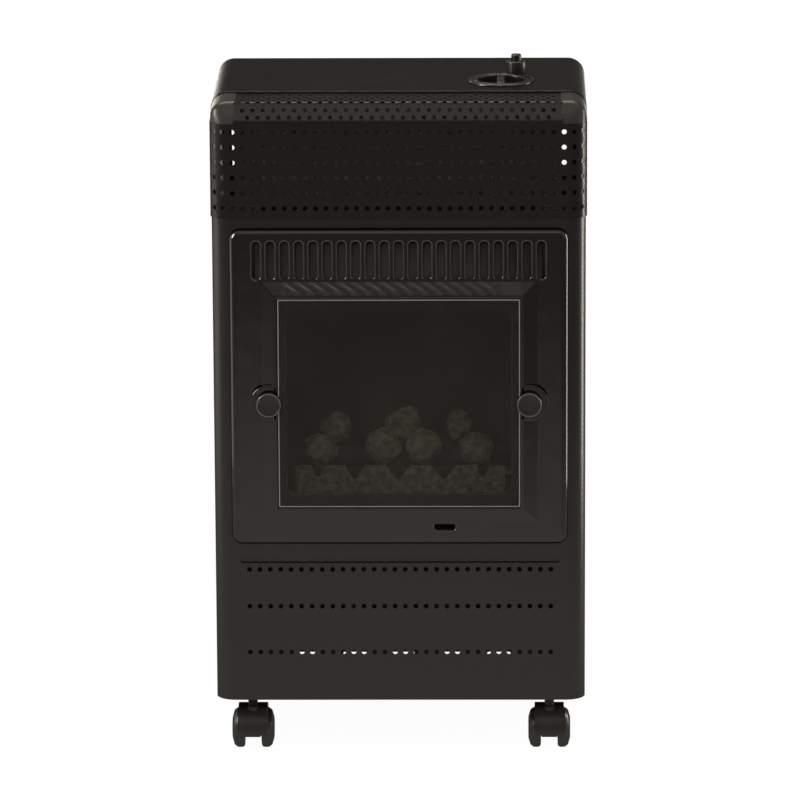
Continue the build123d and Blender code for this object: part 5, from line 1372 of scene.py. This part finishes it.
coal_rows = (
    ("coals_front", FRONT_COALS, 81.0, 29.0, 323.7),
    ("coals_rear", REAR_COALS, 118.5, 36.0, 340.2),
)
for row, (name, coals, depth, length, seat) in enumerate(coal_rows):
    lumps = Shell()
    for index, (share, width, height) in enumerate(coals):
        size = (width * BED, length, height)
        seed = 1.3 + 2.1 * index + 5.7 * row  # any numbers that differ from coal to coal
        coal(lumps, (share * BED, at(depth), seat), size, seed)
    make_piece(name + "_rough", lumps, "ceramic", [name], sharp=180)

# %% [markdown]
# The front edge of the fuel bed is a toothed fender of the same fibre. Its teeth are blunt, because
# the fibre won't hold a sharp edge. The outline is rounded corner by corner and carried back, with
# its front edge softened as well.

# %% Fender
FENDER = 240.0
FENDER_LOW, FENDER_TOP, VALLEY = 294.2, 326.2, 308.2
VALLEYS = ((-0.390, 0.031), (-0.217, 0.046), (-0.010, 0.057), (0.205, 0.057), (0.392, 0.029))
teeth = [(-FENDER / 2, FENDER_LOW), (-FENDER / 2, FENDER_TOP)]
for share, spread in VALLEYS:
    teeth.append(((share - spread) * FENDER, FENDER_TOP))
    teeth.append((share * FENDER, VALLEY))
    teeth.append(((share + spread) * FENDER, FENDER_TOP))
teeth += [(FENDER / 2, FENDER_TOP), (FENDER / 2, FENDER_LOW)]
radii = [2.0] + [2.2, 2.6, 2.2] * len(VALLEYS) + [2.0]
crown = divided(soften(teeth, radii, parts=4), 4.0)


def fender_loop(inset, depth):
    """The toothed outline drawn in by an inset, with the roughness of the fibre."""
    side = FENDER / 2 - inset
    loop = []
    for index, point in enumerate(crown):
        before = crown[max(index - 1, 0)]
        after = crown[min(index + 1, len(crown) - 1)]
        along = (after - before).normalized()
        x, z = point + Vector((along.y, -along.x)) * inset
        wobble = max(0.5 * noise.noise(Vector((x, depth, z)) * 0.16) - 0.25, -0.4)
        y = at(depth + wobble * (0 < inset < 1.5))
        loop.append((min(max(x, -side), side), y, min(max(z, FENDER_LOW), FENDER_TOP - 0.1)))
    return loop


fender_section = [
    (1.6, 56.5), (0.8, 56.8), (0.2, 57.6), (0.0, 58.6), (0.0, 62.5), (0.6, 64.2), (1.6, 65.0)
]
loops = [fender_loop(inset, depth) for inset, depth in fender_section]
fender = Shell()
fender.strip(loops)
for loop in (loops[0], loops[-1]):
    fender.fill(flattened(loop), [], loop[0][1])
make_piece("coal_fender_blunt", fender, "ceramic", ["coal_fender"], sharp=45)

# %% [markdown]
# ## Dress the frame
# Everything else keeps the shape of the CAD model: folded sheets, pipes, screws, the burner. Each
# of those nodes gets the finish that its slot in the record names. Five of them look different from
# the other parts in their slot, and get a finish of their own.

# %% Finishes for the frame
OWN_FINISH = {
    "rear_shield": "galvanised",
    "valve_bracket": "galvanised",
    "coal_bed": "sooted_bed",
    "castor_stems": "black_steel",
    "castor_nuts": "black_steel",
}
dressed = 0
for node_name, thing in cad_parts.items():
    for holder in thing.material_slots:
        slot_name = holder.material.name.split(".")[0]
        holder.material = finishes[OWN_FINISH.get(node_name, slot_name)]
        dressed += 1
print("dressed", dressed)
